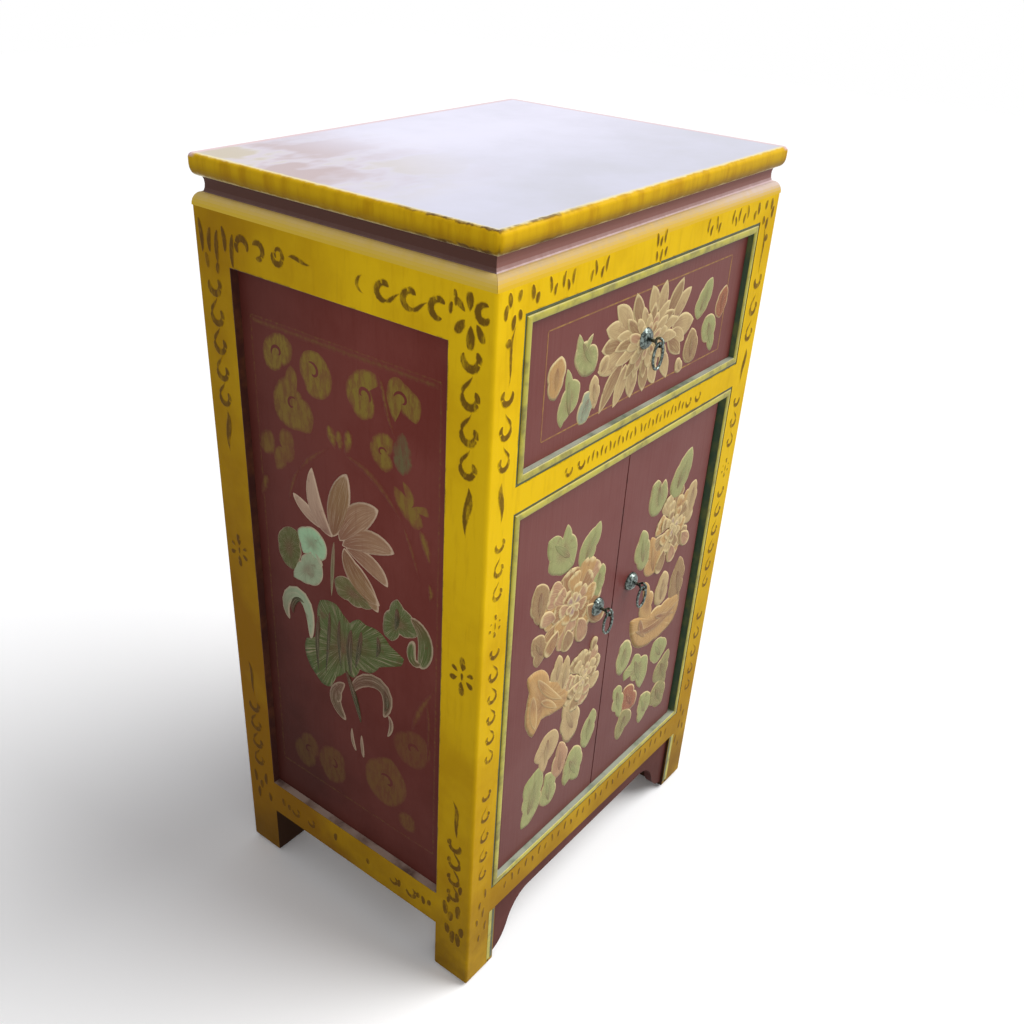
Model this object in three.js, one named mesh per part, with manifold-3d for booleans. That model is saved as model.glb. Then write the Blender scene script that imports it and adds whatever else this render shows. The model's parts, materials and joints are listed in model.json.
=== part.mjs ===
// Painted bedside cabinet: a post and rail carcass with one drawer over two pivot-hung doors.
// Millimetres, +Z up. Origin: on the ground, in the middle of the whole footprint with the pulls.
// The front looks along -Y.
import * as THREE from "three";
import { mergeVertices } from "three/addons/utils/BufferGeometryUtils.js";
import Module from "manifold-3d";

const wasm = await Module();
wasm.setup();

// Carcass
const BODY_WIDTH = 424;
const BODY_DEPTH = 320;
const POST_WIDTH = 42;
const POST_DEPTH = 42;
const POST_ROUND = 3;
const FOOT_ROUND = 7;
const FRAME_TOP = 719;
const RAIL_THICK = 22;
const SIDE_RAIL_THICK = 24;

// Heights of the front openings
const DRAWER_TOP = 689;
const DRAWER_BASE = 568.5;
const DOOR_TOP = 528;
const DOOR_BASE = 124;
const RAIL_BASE = 83;

// Heights of the side and back openings
const SIDE_TOP = 676;
const SIDE_BASE = 107;
const SIDE_RAIL_BASE = 65;
const BACK_TOP = 689;

// Joints. A cutter runs PAST the face that it enters, so that no skin is left there.
const GAP = 0.3;
const PAST = 1;
const TENON_LENGTH = 16;
const TENON_THICK = 10;
const TENON_SETBACK = 6;
const TENON_SHOULDER = 7;

// Bead run round each front opening, with a groove outside it
const BEAD_WIDTH = 6;
const BEAD_ROUND = 1.4;
const GROOVE_WIDTH = 2.5;
const GROOVE_DEPTH = 1.5;

// Panels and boards
const SIDE_RECESS = 8;
const BACK_RECESS = 8;
const PANEL_THICK = 8;
const PANEL_TONGUE = 6;
const FLOOR_THICK = 12;
const RUNNER_WIDTH = 24;
const RUNNER_HEIGHT = 18;
const KICKER_HEIGHT = 16;
const KICKER_GAP = 1;

// Cornice: a rounded shoulder, a hollow waist and the top board over it
const MOULDING_WIDTH = 22;
const SHOULDER_HEIGHT = 10.5;
const SHOULDER_SETBACK = 6.5;
const WAIST_HEIGHT = 12.5;
const WAIST_SETBACK = 6.7;
const WAIST_DEPTH = 1.9;
const BOARD_THICK = 18;
const BOARD_OVERHANG = 0.8;
const BOARD_UNDER_RUN = 6.8;
const BOARD_UNDER_RISE = 9;
const BOARD_ARRIS = 4;
const BOARD_CORNER = 5;

// Apron, and the bracket at each of its ends
const APRON_THICK = 10;
const APRON_SETBACK = 3;
const APRON_DROP = 19.5;
const BRACKET_DROP = 74;
const BRACKET_TOE = 8;
const BRACKET_TOE_RISE = 3;
const BRACKET_SWELL_OUT = 13;
const BRACKET_SWELL_RISE = 5;
const BRACKET_TURN_OUT = 29;
const BRACKET_TURN_RISE = 32;
const BRACKET_HOLLOW = 12;
const BRACKET_REACH = 62;

// Drawer
const FRONT_RECESS = 5;
const DRAWER_GAP = 1;
const DRAWER_FRONT_THICK = 16;
const DRAWER_SIDE_THICK = 10;
const DRAWER_SIDE_HEIGHT = 91;
const DRAWER_LAP = 8;
const DRAWER_BACK_THICK = 12;
const DRAWER_BACK_INSET = 2.5;
const DRAWER_BOTTOM_THICK = 6;
const DRAWER_BOTTOM_LIFT = 5.2;
const DRAWER_GROOVE = 5;

// Doors
const DOOR_THICK = 16.7;
const DOOR_GAP = 1;
const MEETING_GAP = 1.5;
const PIN_RADIUS = 4.5;
const PIN_PLAY = 0.3;
const PIN_IN_DOOR = 13.5;
const PIN_IN_RAIL = 10;
const STOP_THICK = 10;
const STOP_HEIGHT = 30;
const STOP_DROP = 12;

// Pulls: how far each stands from the middle line, and above the middle of its drawer or door
const PULL_OFFSET = 30;
const DOOR_PULL_LIFT = 48;
const DRAWER_PULL_LIFT = 3.25;
const BOSS_RADIUS = 9.8;
const BOSS_HEIGHT = 6;
const SHANK_RADIUS = 1.6;
const SHANK_PLAY = 0.3;
const SHANK_DEPTH = 12;
const EYE_NECK = 4;
const EYE_RADIUS = 3.6;
const EYE_WIRE = 1.2;
const DROP_HALF_WIDTH = 7.5;
const DROP_HALF_LENGTH = 11.4;
const DROP_WIRE = 1.3;

// The pulls stand out in front, so the carcass's middle lies this far behind the footprint's
const CARCASS_SETBACK = 6;

// Facets: steps in a quarter of a small arc and along a moulded edge, and sides of the round pieces
const ARC_STEPS = 4;
const EDGE_STEPS = 6;
const SHANK_SIDES = 12;
const WIRE_SIDES = 10;
const BOSS_SIDES = 28;
const DROP_SIDES = 32;

const HALF_WIDTH = BODY_WIDTH / 2;
const HALF_DEPTH = BODY_DEPTH / 2;
const OPEN_X = HALF_WIDTH - POST_WIDTH;
const OPEN_Y = HALF_DEPTH - POST_DEPTH;
const FRONT = -HALF_DEPTH;
const RAIL_REAR = FRONT + RAIL_THICK;
const LEAF_FRONT = FRONT + FRONT_RECESS;
const SHOULDER_TOP = FRAME_TOP + SHOULDER_HEIGHT;
const WAIST_TOP = SHOULDER_TOP + WAIST_HEIGHT;
const BOARD_TOP = WAIST_TOP + BOARD_THICK;
const DRAWER_PULL_Z = (DRAWER_BASE + DRAWER_TOP) / 2 + DRAWER_PULL_LIFT;
const DOOR_PULL_Z = (DOOR_BASE + DOOR_TOP) / 2 + DOOR_PULL_LIFT;

// Helpers: geometry to solid and back
function solid(geometry) {
  const bare = geometry.clone();
  bare.deleteAttribute("normal");
  bare.deleteAttribute("uv");
  const merged = mergeVertices(bare, 1e-4);
  return new wasm.Manifold(new wasm.Mesh({
    numProp: 3,
    vertProperties: new Float32Array(merged.attributes.position.array),
    triVerts: new Uint32Array(merged.index.array),
  }));
}

function geometryOf(manifold) {
  const mesh = manifold.getMesh();
  const geometry = new THREE.BufferGeometry();
  geometry.setAttribute("position", new THREE.BufferAttribute(new Float32Array(mesh.vertProperties), 3));
  geometry.setIndex(new THREE.BufferAttribute(new Uint32Array(mesh.triVerts), 1));
  geometry.computeVertexNormals();
  return geometry;
}

function cut(base, ...tools) {
  return tools.reduce((body, tool) => body.subtract(tool), base);
}

function join(base, ...others) {
  return others.reduce((body, other) => body.add(other), base);
}

function block([x0, x1], [y0, y1], [z0, z1]) {
  const box = new THREE.BoxGeometry(x1 - x0, y1 - y0, z1 - z0);
  box.translate((x0 + x1) / 2, (y0 + y1) / 2, (z0 + z1) / 2);
  return solid(box);
}

function grow([low, high], by) {
  return [low - by, high + by];
}

// Extrusions along each axis; the outline is drawn in the other two axes
const AXES = {
  z: new THREE.Matrix4(),
  x: new THREE.Matrix4().makeBasis(
    new THREE.Vector3(0, 1, 0), new THREE.Vector3(0, 0, 1), new THREE.Vector3(1, 0, 0)),
  y: new THREE.Matrix4().makeBasis(
    new THREE.Vector3(1, 0, 0), new THREE.Vector3(0, 0, 1), new THREE.Vector3(0, -1, 0)),
};

function extrude(shape, axis, from, to, curveSegments = 8) {
  const geometry = new THREE.ExtrudeGeometry(shape, {
    depth: to - from, bevelEnabled: false, curveSegments,
  });
  geometry.translate(0, 0, axis === "y" ? -to : from);
  geometry.applyMatrix4(AXES[axis]);
  return solid(geometry);
}

function cylinder(radius, axis, centre, from, to, sides = 24) {
  const disc = new THREE.Shape();
  disc.absarc(centre[0], centre[1], radius, 0, Math.PI * 2);
  return extrude(disc, axis, from, to, sides / 2);
}

// A closed skin over a stack of outlines that all have the same number of points
function loft(rings) {
  const count = rings[0].length;
  const positions = rings.flat().flatMap((p) => [p.x, p.y, p.z]);
  const index = [];
  for (let r = 0; r + 1 < rings.length; r++) {
    for (let i = 0; i < count; i++) {
      const a = r * count + i;
      const b = r * count + (i + 1) % count;
      index.push(a, b, b + count, a, b + count, a + count);
    }
  }
  return { positions, index, count, last: (rings.length - 1) * count };
}

function closedGeometry({ positions, index }) {
  const geometry = new THREE.BufferGeometry();
  geometry.setAttribute("position", new THREE.Float32BufferAttribute(positions, 3));
  geometry.setIndex(index);
  geometry.computeVertexNormals();
  return geometry;
}

// A moulding stick with mitred ends, run along +X on the side that faces -Y.
// Each profile point is [out, z], with out measured outwards from the body's face.
function mitredStick(profile, halfLength, halfDepth) {
  const end = (sign) => profile.map(([out, z]) =>
    new THREE.Vector3(sign * (halfLength + out - GAP / 2), -(halfDepth + out), z));
  const skin = loft([end(-1), end(1)]);
  const caps = THREE.ShapeUtils.triangulateShape(profile.map(([u, z]) => new THREE.Vector2(u, z)), []);
  for (const [a, b, c] of caps) {
    skin.index.push(c, b, a);
    skin.index.push(a + skin.last, b + skin.last, c + skin.last);
  }
  return closedGeometry(skin);
}

function facingOut(geometry) {
  if (solid(geometry).volume() > 0) return geometry;
  const index = geometry.index.array;
  const flipped = Array.from(index);
  for (let i = 0; i < flipped.length; i += 3) {
    [flipped[i + 1], flipped[i + 2]] = [flipped[i + 2], flipped[i + 1]];
  }
  const turned = geometry.clone();
  turned.setIndex(flipped);
  turned.computeVertexNormals();
  return turned;
}

function mirrored(geometry, axis) {
  const copy = geometry.clone();
  copy.scale(axis === "x" ? -1 : 1, axis === "y" ? -1 : 1, 1);
  const index = copy.index.array;
  for (let i = 0; i < index.length; i += 3) {
    [index[i + 1], index[i + 2]] = [index[i + 2], index[i + 1]];
  }
  copy.computeVertexNormals();
  return copy;
}

// Materials
const paint = (color, roughness = 0.45) => new THREE.MeshStandardMaterial({ color, roughness, metalness: 0 });
const YELLOW = paint(0xd8b01c);
const MAROON = paint(0x6e3733);
const LACQUER = paint(0xcfc9d6, 0.25);
const BARE_WOOD = paint(0x9a7448, 0.8);
const IRON = new THREE.MeshStandardMaterial({ color: 0x5a625f, roughness: 0.4, metalness: 0.9 });

const cabinet = new THREE.Group();
cabinet.position.y = CARCASS_SETBACK;

function place(name, geometry, material, parent = cabinet) {
  const mesh = new THREE.Mesh(geometry, material);
  mesh.name = name;
  parent.add(mesh);
  return mesh;
}

// Section of the waste that leaves a bead and a groove, as [out from the opening's edge, into the face].
// It runs over the groove, back over both rounded arrises of the bead, and out in front of the face.
function beadWaste() {
  const section = [
    [BEAD_WIDTH + GROOVE_WIDTH, -PAST], [BEAD_WIDTH + GROOVE_WIDTH, GROOVE_DEPTH], [BEAD_WIDTH, GROOVE_DEPTH]];
  for (const [middle, start] of [[BEAD_WIDTH - BEAD_ROUND, 0], [BEAD_ROUND, Math.PI / 2]]) {
    for (let i = 0; i <= ARC_STEPS; i++) {
      const turn = start + (i / ARC_STEPS) * Math.PI / 2;
      section.push([middle + BEAD_ROUND * Math.cos(turn), BEAD_ROUND * (1 - Math.sin(turn))]);
    }
  }
  section.push([-PAST, BEAD_ROUND], [-PAST, -PAST]);
  return section;
}

// The waste carried round a front opening, mitred at its corners
function beadRing(z0, z1) {
  const corners = [[1, z1, 1], [-1, z1, 1], [-1, z0, -1], [1, z0, -1]];
  const rings = corners.map(([sx, z, sz]) => beadWaste().map(([out, deep]) =>
    new THREE.Vector3(sx * (OPEN_X + out), FRONT + deep, z + sz * out)));
  return solid(facingOut(closedGeometry(loft([...rings, rings[0]]))));
}

const DRAWER_RING = beadRing(DRAWER_BASE, DRAWER_TOP);
const DOOR_RING = beadRing(DOOR_BASE, DOOR_TOP);

// Rails, each with a stub tenon at both ends. The room of each tenon is kept, for the posts' mortises.
const mortises = [];

function keepMortise(x, y, z) {
  mortises.push([grow(x, GAP), grow(y, GAP), grow(z, GAP)]);
}

function tenon(x, y, z) {
  keepMortise(x, y, z);
  return block(x, y, z);
}

function crossRail(y, z, tenonZ, grooves) {
  const tenonY = y[0] === FRONT
    ? [y[0] + TENON_SETBACK, y[0] + TENON_SETBACK + TENON_THICK]
    : [y[1] - TENON_SETBACK - TENON_THICK, y[1] - TENON_SETBACK];
  const body = join(
    block([-OPEN_X, OPEN_X], y, z),
    tenon([-OPEN_X - TENON_LENGTH, -OPEN_X], tenonY, tenonZ),
    tenon([OPEN_X, OPEN_X + TENON_LENGTH], tenonY, tenonZ));
  return cut(body, ...grooves);
}

function sideRail(z, tenonZ, groove) {
  const x = [-HALF_WIDTH, -HALF_WIDTH + SIDE_RAIL_THICK];
  const tenonX = [x[0] + TENON_SETBACK, x[0] + TENON_SETBACK + TENON_THICK];
  const ends = [[-OPEN_Y - TENON_LENGTH, -OPEN_Y], [OPEN_Y, OPEN_Y + TENON_LENGTH]];
  for (const y of ends) keepMortise([-tenonX[1], -tenonX[0]], y, tenonZ);
  return cut(join(block(x, [-OPEN_Y, OPEN_Y], z), ...ends.map((y) => tenon(tenonX, y, tenonZ))), groove);
}

const SIDE_PANEL_X = [-HALF_WIDTH + SIDE_RECESS, -HALF_WIDTH + SIDE_RECESS + PANEL_THICK];
const SIDE_PANEL_Y = [-OPEN_Y - PANEL_TONGUE, OPEN_Y + PANEL_TONGUE];
const SIDE_PANEL_Z = [SIDE_BASE - PANEL_TONGUE, SIDE_TOP + PANEL_TONGUE];
const BACK_PANEL_Y = [HALF_DEPTH - BACK_RECESS - PANEL_THICK, HALF_DEPTH - BACK_RECESS];
const BACK_PANEL_X = [-OPEN_X - PANEL_TONGUE, OPEN_X + PANEL_TONGUE];
const BACK_PANEL_Z = [SIDE_BASE - PANEL_TONGUE, BACK_TOP + PANEL_TONGUE];
const sidePanelRoom = block(grow(SIDE_PANEL_X, GAP), grow(SIDE_PANEL_Y, GAP), grow(SIDE_PANEL_Z, GAP));
const backPanelRoom = block(grow(BACK_PANEL_X, GAP), grow(BACK_PANEL_Y, GAP), grow(BACK_PANEL_Z, GAP));

// Door pivots: the pin's axis lies in the middle of the leaf, so that its round edge clears the post
const PIVOT_X = OPEN_X - DOOR_GAP - DOOR_THICK / 2;
const PIVOT_Y = LEAF_FRONT + DOOR_THICK / 2;
const pinSocket = (side, from, to) =>
  cylinder(PIN_RADIUS + PIN_PLAY, "z", [side * PIVOT_X, PIVOT_Y], from, to);
const lowerSockets = [-1, 1].map((side) => pinSocket(side, DOOR_BASE - PIN_IN_RAIL - GAP, DOOR_BASE + PAST));
const upperSockets = [-1, 1].map((side) => pinSocket(side, DOOR_TOP - PAST, DOOR_TOP + PIN_IN_RAIL + GAP));

const FRONT_RAIL_Y = [FRONT, RAIL_REAR];
const BACK_RAIL_Y = [-RAIL_REAR, HALF_DEPTH];
const frontTopRail = crossRail(FRONT_RAIL_Y, [DRAWER_TOP, FRAME_TOP],
  [DRAWER_TOP + TENON_SHOULDER, FRAME_TOP - TENON_SHOULDER], [DRAWER_RING]);
const frontMidRail = crossRail(FRONT_RAIL_Y, [DOOR_TOP, DRAWER_BASE],
  [DOOR_TOP + TENON_SHOULDER, DRAWER_BASE - TENON_SHOULDER], [DRAWER_RING, DOOR_RING, ...upperSockets]);
const frontBottomRail = crossRail(FRONT_RAIL_Y, [RAIL_BASE, DOOR_BASE],
  [RAIL_BASE + TENON_SHOULDER, DOOR_BASE - TENON_SHOULDER], [DOOR_RING, ...lowerSockets]);
const backTopRail = crossRail(BACK_RAIL_Y, [BACK_TOP, FRAME_TOP],
  [BACK_TOP + PANEL_TONGUE + TENON_SHOULDER, FRAME_TOP - TENON_SHOULDER], [backPanelRoom]);
const backBottomRail = crossRail(BACK_RAIL_Y, [SIDE_RAIL_BASE, SIDE_BASE],
  [SIDE_RAIL_BASE + TENON_SHOULDER, SIDE_BASE - TENON_SHOULDER - PANEL_TONGUE], [backPanelRoom]);
const sideTopRail = sideRail([SIDE_TOP, FRAME_TOP],
  [SIDE_TOP + PANEL_TONGUE + TENON_SHOULDER, FRAME_TOP - TENON_SHOULDER], sidePanelRoom);
const sideBottomRail = sideRail([SIDE_RAIL_BASE, SIDE_BASE],
  [SIDE_RAIL_BASE + TENON_SHOULDER, SIDE_BASE - TENON_SHOULDER - PANEL_TONGUE], sidePanelRoom);

place("front_top_rail", geometryOf(frontTopRail), YELLOW);
place("front_middle_rail", geometryOf(frontMidRail), YELLOW);
place("front_bottom_rail", geometryOf(frontBottomRail), YELLOW);
place("back_top_rail", geometryOf(backTopRail), MAROON);
place("back_bottom_rail", geometryOf(backBottomRail), MAROON);
place("left_top_rail", geometryOf(sideTopRail), YELLOW);
place("left_bottom_rail", geometryOf(sideBottomRail), YELLOW);
place("right_top_rail", mirrored(geometryOf(sideTopRail), "x"), YELLOW);
place("right_bottom_rail", mirrored(geometryOf(sideBottomRail), "x"), YELLOW);

// Posts: a square section with a softened outer arris, and a foot rounded on all four sides
function postSection() {
  const outline = new THREE.Shape();
  const [x0, y0] = [-HALF_WIDTH, FRONT];
  outline.moveTo(x0 + POST_WIDTH, y0);
  outline.lineTo(x0 + POST_WIDTH, y0 + POST_DEPTH);
  outline.lineTo(x0, y0 + POST_DEPTH);
  outline.lineTo(x0, y0 + POST_ROUND);
  outline.absarc(x0 + POST_ROUND, y0 + POST_ROUND, POST_ROUND, Math.PI, Math.PI * 1.5);
  outline.closePath();
  return outline;
}

// A tall rectangle with its two lower corners rounded, to carve the foot
function footOutline(low, high) {
  const outline = new THREE.Shape();
  outline.moveTo(low, FRAME_TOP + PAST);
  outline.lineTo(low, FOOT_ROUND);
  outline.absarc(low + FOOT_ROUND, FOOT_ROUND, FOOT_ROUND, Math.PI, Math.PI * 1.5);
  outline.absarc(high - FOOT_ROUND, FOOT_ROUND, FOOT_ROUND, Math.PI * 1.5, Math.PI * 2);
  outline.lineTo(high, FRAME_TOP + PAST);
  outline.closePath();
  return outline;
}

const postX = [-HALF_WIDTH, -OPEN_X];
const postY = [FRONT, -OPEN_Y];
const blankPost = extrude(postSection(), "z", 0, FRAME_TOP, ARC_STEPS)
  .intersect(extrude(footOutline(...postX), "y", ...grow(postY, PAST), ARC_STEPS))
  .intersect(extrude(footOutline(...postY), "x", ...grow(postX, PAST), ARC_STEPS));

// Below the rails the same groove runs down the foot
const footGroove = block(
  [-OPEN_X - BEAD_WIDTH - GROOVE_WIDTH, -OPEN_X - BEAD_WIDTH],
  [FRONT - PAST, FRONT + GROOVE_DEPTH], [-PAST, RAIL_BASE]);

function mortised(geometry, tools) {
  const holes = mortises.map(([x, y, z]) => block(x, y, z));
  return geometryOf(cut(solid(geometry), ...holes, ...tools));
}

const leftFrontBlank = geometryOf(cut(blankPost, footGroove));
const leftRearBlank = mirrored(geometryOf(blankPost), "y");
const sideRooms = [sidePanelRoom, solid(mirrored(geometryOf(sidePanelRoom), "x"))];
place("front_left_post", mortised(leftFrontBlank, [DRAWER_RING, DOOR_RING, ...sideRooms]), YELLOW);
place("front_right_post", mortised(mirrored(leftFrontBlank, "x"), [DRAWER_RING, DOOR_RING, ...sideRooms]), YELLOW);
place("rear_left_post", mortised(leftRearBlank, [backPanelRoom, ...sideRooms]), YELLOW);
place("rear_right_post", mortised(mirrored(leftRearBlank, "x"), [backPanelRoom, ...sideRooms]), YELLOW);

// Panels held loose in the grooves of posts and rails
const sidePanel = geometryOf(block(SIDE_PANEL_X, SIDE_PANEL_Y, SIDE_PANEL_Z));
place("left_panel", sidePanel, MAROON);
place("right_panel", mirrored(sidePanel, "x"), MAROON);
place("back_panel", geometryOf(block(BACK_PANEL_X, BACK_PANEL_Y, BACK_PANEL_Z)), MAROON);

// Cupboard floor: rests on the side and back rails, notched round the posts
const FLOOR_X = HALF_WIDTH - SIDE_RECESS - PANEL_THICK - GAP;
const FLOOR_BACK = BACK_PANEL_Y[0] - GAP;
const floorBlank = block([-FLOOR_X, FLOOR_X], [RAIL_REAR, FLOOR_BACK], [SIDE_BASE, SIDE_BASE + FLOOR_THICK]);
const postRooms = [-1, 1].flatMap((sx) => [-1, 1].map((sy) => {
  const x = sx < 0 ? [-HALF_WIDTH, -OPEN_X + GAP] : [OPEN_X - GAP, HALF_WIDTH];
  const y = sy < 0 ? [-HALF_DEPTH, -OPEN_Y + GAP] : [OPEN_Y - GAP, HALF_DEPTH];
  return block(x, y, grow([SIDE_BASE, SIDE_BASE + FLOOR_THICK], PAST));
}));
place("cupboard_floor", geometryOf(cut(floorBlank, ...postRooms)), BARE_WOOD);

// Drawer runners and kickers between the front rails and the rear posts
for (const [side, sign] of [["left", -1], ["right", 1]]) {
  const x = sign < 0 ? [-OPEN_X, -OPEN_X + RUNNER_WIDTH] : [OPEN_X - RUNNER_WIDTH, OPEN_X];
  const y = [RAIL_REAR, -RAIL_REAR];
  const kickerBase = DRAWER_TOP + KICKER_GAP;
  place(`${side}_drawer_runner`, geometryOf(block(x, y, [DRAWER_BASE - RUNNER_HEIGHT, DRAWER_BASE])), BARE_WOOD);
  place(`${side}_drawer_kicker`, geometryOf(block(x, y, [kickerBase, kickerBase + KICKER_HEIGHT])), BARE_WOOD);
}

// Stop strip behind the middle rail, for the heads of both doors
place("door_stop_strip", geometryOf(block([-OPEN_X + GAP, OPEN_X - GAP],
  [RAIL_REAR, RAIL_REAR + STOP_THICK], [DOOR_TOP - STOP_DROP, DOOR_TOP - STOP_DROP + STOP_HEIGHT])), BARE_WOOD);

// Apron: a straight strip with a bracket at each end. From the toe beside the foot the edge swells out
// and up to a turn, and from there it hollows into the strip.
function apronOutline() {
  const low = RAIL_BASE - APRON_DROP;
  const tip = RAIL_BASE - BRACKET_DROP;
  const toe = [OPEN_X - BRACKET_TOE, tip + BRACKET_TOE_RISE];
  const swell = [toe[0] - BRACKET_SWELL_OUT, toe[1] + BRACKET_SWELL_RISE];
  const turn = [OPEN_X - BRACKET_TURN_OUT, tip + BRACKET_TURN_RISE];
  const hollow = [turn[0] - BRACKET_HOLLOW, low];
  const strip = OPEN_X - BRACKET_REACH;
  const outline = new THREE.Shape();
  outline.moveTo(-OPEN_X, RAIL_BASE);
  outline.lineTo(-OPEN_X, tip);
  outline.lineTo(-toe[0], toe[1]);
  outline.quadraticCurveTo(-swell[0], swell[1], -turn[0], turn[1]);
  outline.quadraticCurveTo(-hollow[0], hollow[1], -strip, low);
  outline.lineTo(strip, low);
  outline.quadraticCurveTo(hollow[0], hollow[1], turn[0], turn[1]);
  outline.quadraticCurveTo(swell[0], swell[1], toe[0], toe[1]);
  outline.lineTo(OPEN_X, tip);
  outline.lineTo(OPEN_X, RAIL_BASE);
  outline.closePath();
  return outline;
}
place("front_apron", geometryOf(extrude(apronOutline(), "y",
  FRONT + APRON_SETBACK, FRONT + APRON_SETBACK + APRON_THICK)), MAROON);

// Shoulder: a quarter of an ellipse, from the frame's face up and back to the waist
const shoulderProfile = [[-MOULDING_WIDTH, FRAME_TOP]];
for (let i = 0; i <= EDGE_STEPS; i++) {
  const turn = (i / EDGE_STEPS) * Math.PI / 2;
  shoulderProfile.push([
    -SHOULDER_SETBACK * (1 - Math.cos(turn)),
    FRAME_TOP + SHOULDER_HEIGHT * Math.sin(turn)]);
}
shoulderProfile.push([-MOULDING_WIDTH, SHOULDER_TOP]);

// Waist: a shallow hollow, half an ellipse deep
const waistProfile = [[-MOULDING_WIDTH, SHOULDER_TOP]];
for (let i = 0; i <= EDGE_STEPS; i++) {
  const turn = (i / EDGE_STEPS) * Math.PI;
  waistProfile.push([
    -WAIST_SETBACK - WAIST_DEPTH * Math.sin(turn),
    SHOULDER_TOP + WAIST_HEIGHT * (1 - Math.cos(turn)) / 2]);
}
waistProfile.push([-MOULDING_WIDTH, WAIST_TOP]);

function mouldingSet(prefix, profile, material) {
  const long = facingOut(mitredStick(profile, HALF_WIDTH, HALF_DEPTH));
  const short = facingOut(mitredStick(profile, HALF_DEPTH, HALF_WIDTH));
  const turns = [["front", long, 0], ["right", short, 1], ["back", long, 2], ["left", short, 3]];
  for (const [side, geometry, quarter] of turns) {
    place(`${prefix}_${side}`, geometry, material).rotation.z = quarter * Math.PI / 2;
  }
}
mouldingSet("shoulder_moulding", shoulderProfile, YELLOW);
mouldingSet("waist_moulding", waistProfile, MAROON);

// Top board: rounded rectangles stacked up its edge
function roundedRing(out, z) {
  const hx = HALF_WIDTH + out;
  const hy = HALF_DEPTH + out;
  const radius = Math.max(BOARD_CORNER + out - BOARD_OVERHANG, GAP);
  const ring = [];
  const corners = [[hx, hy, 0], [-hx, hy, 1], [-hx, -hy, 2], [hx, -hy, 3]];
  for (const [cx, cy, quarter] of corners) {
    for (let i = 0; i <= ARC_STEPS; i++) {
      const angle = (quarter + i / ARC_STEPS) * Math.PI / 2;
      ring.push(new THREE.Vector3(
        cx - Math.sign(cx) * radius + radius * Math.cos(angle),
        cy - Math.sign(cy) * radius + radius * Math.sin(angle), z));
    }
  }
  return ring;
}

// Its edge: a quarter of an ellipse swells out from the waist, and a quarter round turns in to the top
function boardEdge() {
  const edge = [];
  for (let i = 0; i <= EDGE_STEPS; i++) {
    const turn = (i / EDGE_STEPS) * Math.PI / 2;
    edge.push([
      BOARD_OVERHANG - BOARD_UNDER_RUN * (1 - Math.sin(turn)),
      WAIST_TOP + BOARD_UNDER_RISE * (1 - Math.cos(turn))]);
  }
  for (let i = 0; i <= EDGE_STEPS; i++) {
    const turn = (i / EDGE_STEPS) * Math.PI / 2;
    edge.push([
      BOARD_OVERHANG - BOARD_ARRIS * (1 - Math.cos(turn)),
      BOARD_TOP - BOARD_ARRIS * (1 - Math.sin(turn))]);
  }
  return edge;
}

function topBoard() {
  const skin = loft(boardEdge().map(([out, z]) => roundedRing(out, z)));
  for (let i = 1; i + 1 < skin.count; i++) {
    skin.index.push(0, i + 1, i);
    skin.index.push(skin.last, skin.last + i, skin.last + i + 1);
  }
  return facingOut(closedGeometry(skin));
}
place("top_board", topBoard(), LACQUER);

// Drawer
const drawer = new THREE.Group();
cabinet.add(drawer);
const DRAWER_HALF = OPEN_X - DRAWER_GAP;
const DRAWER_LOW = DRAWER_BASE + GAP;
const DRAWER_FRONT_REAR = LEAF_FRONT + DRAWER_FRONT_THICK;
const DRAWER_END = BACK_PANEL_Y[0] - DRAWER_GAP / 2;
const SIDE_INNER = DRAWER_HALF - DRAWER_SIDE_THICK;
const BOTTOM_Z = [DRAWER_LOW + DRAWER_BOTTOM_LIFT, DRAWER_LOW + DRAWER_BOTTOM_LIFT + DRAWER_BOTTOM_THICK];
const drawerSideZ = [DRAWER_LOW, DRAWER_LOW + DRAWER_SIDE_HEIGHT];
const drawerSideY = [DRAWER_FRONT_REAR - DRAWER_LAP, DRAWER_END];
const drawerBackY = [DRAWER_END - DRAWER_BACK_INSET - DRAWER_BACK_THICK, DRAWER_END - DRAWER_BACK_INSET];
const drawerBottom = {
  x: [-SIDE_INNER - DRAWER_GROOVE, SIDE_INNER + DRAWER_GROOVE],
  y: [DRAWER_FRONT_REAR - DRAWER_GROOVE, drawerBackY[1]],
};
const bottomRoom = block(
  grow(drawerBottom.x, GAP), [drawerBottom.y[0] - GAP, DRAWER_END + PAST], grow(BOTTOM_Z, GAP));
const drawerBackX = [-SIDE_INNER - DRAWER_GROOVE, SIDE_INNER + DRAWER_GROOVE];
const backRoom = block(grow(drawerBackX, GAP), grow(drawerBackY, GAP), [BOTTOM_Z[1], drawerSideZ[1] + PAST]);
const shankHole = (x, z) => cylinder(
  SHANK_RADIUS + SHANK_PLAY, "y", [x, z], LEAF_FRONT - PAST, LEAF_FRONT + SHANK_DEPTH + GAP, SHANK_SIDES);

const sideLap = (sign) => block(
  sign < 0 ? [-DRAWER_HALF - PAST, -SIDE_INNER + GAP] : [SIDE_INNER - GAP, DRAWER_HALF + PAST],
  [drawerSideY[0] - GAP, DRAWER_FRONT_REAR + PAST], [drawerSideZ[0] - PAST, drawerSideZ[1] + GAP]);
const drawerFront = cut(
  block([-DRAWER_HALF, DRAWER_HALF], [LEAF_FRONT, DRAWER_FRONT_REAR], [DRAWER_LOW, DRAWER_TOP - DRAWER_GAP]),
  sideLap(-1), sideLap(1), bottomRoom, shankHole(0, DRAWER_PULL_Z));
const drawerSide = cut(
  block([-DRAWER_HALF, -SIDE_INNER], drawerSideY, drawerSideZ), bottomRoom, backRoom);

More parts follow.
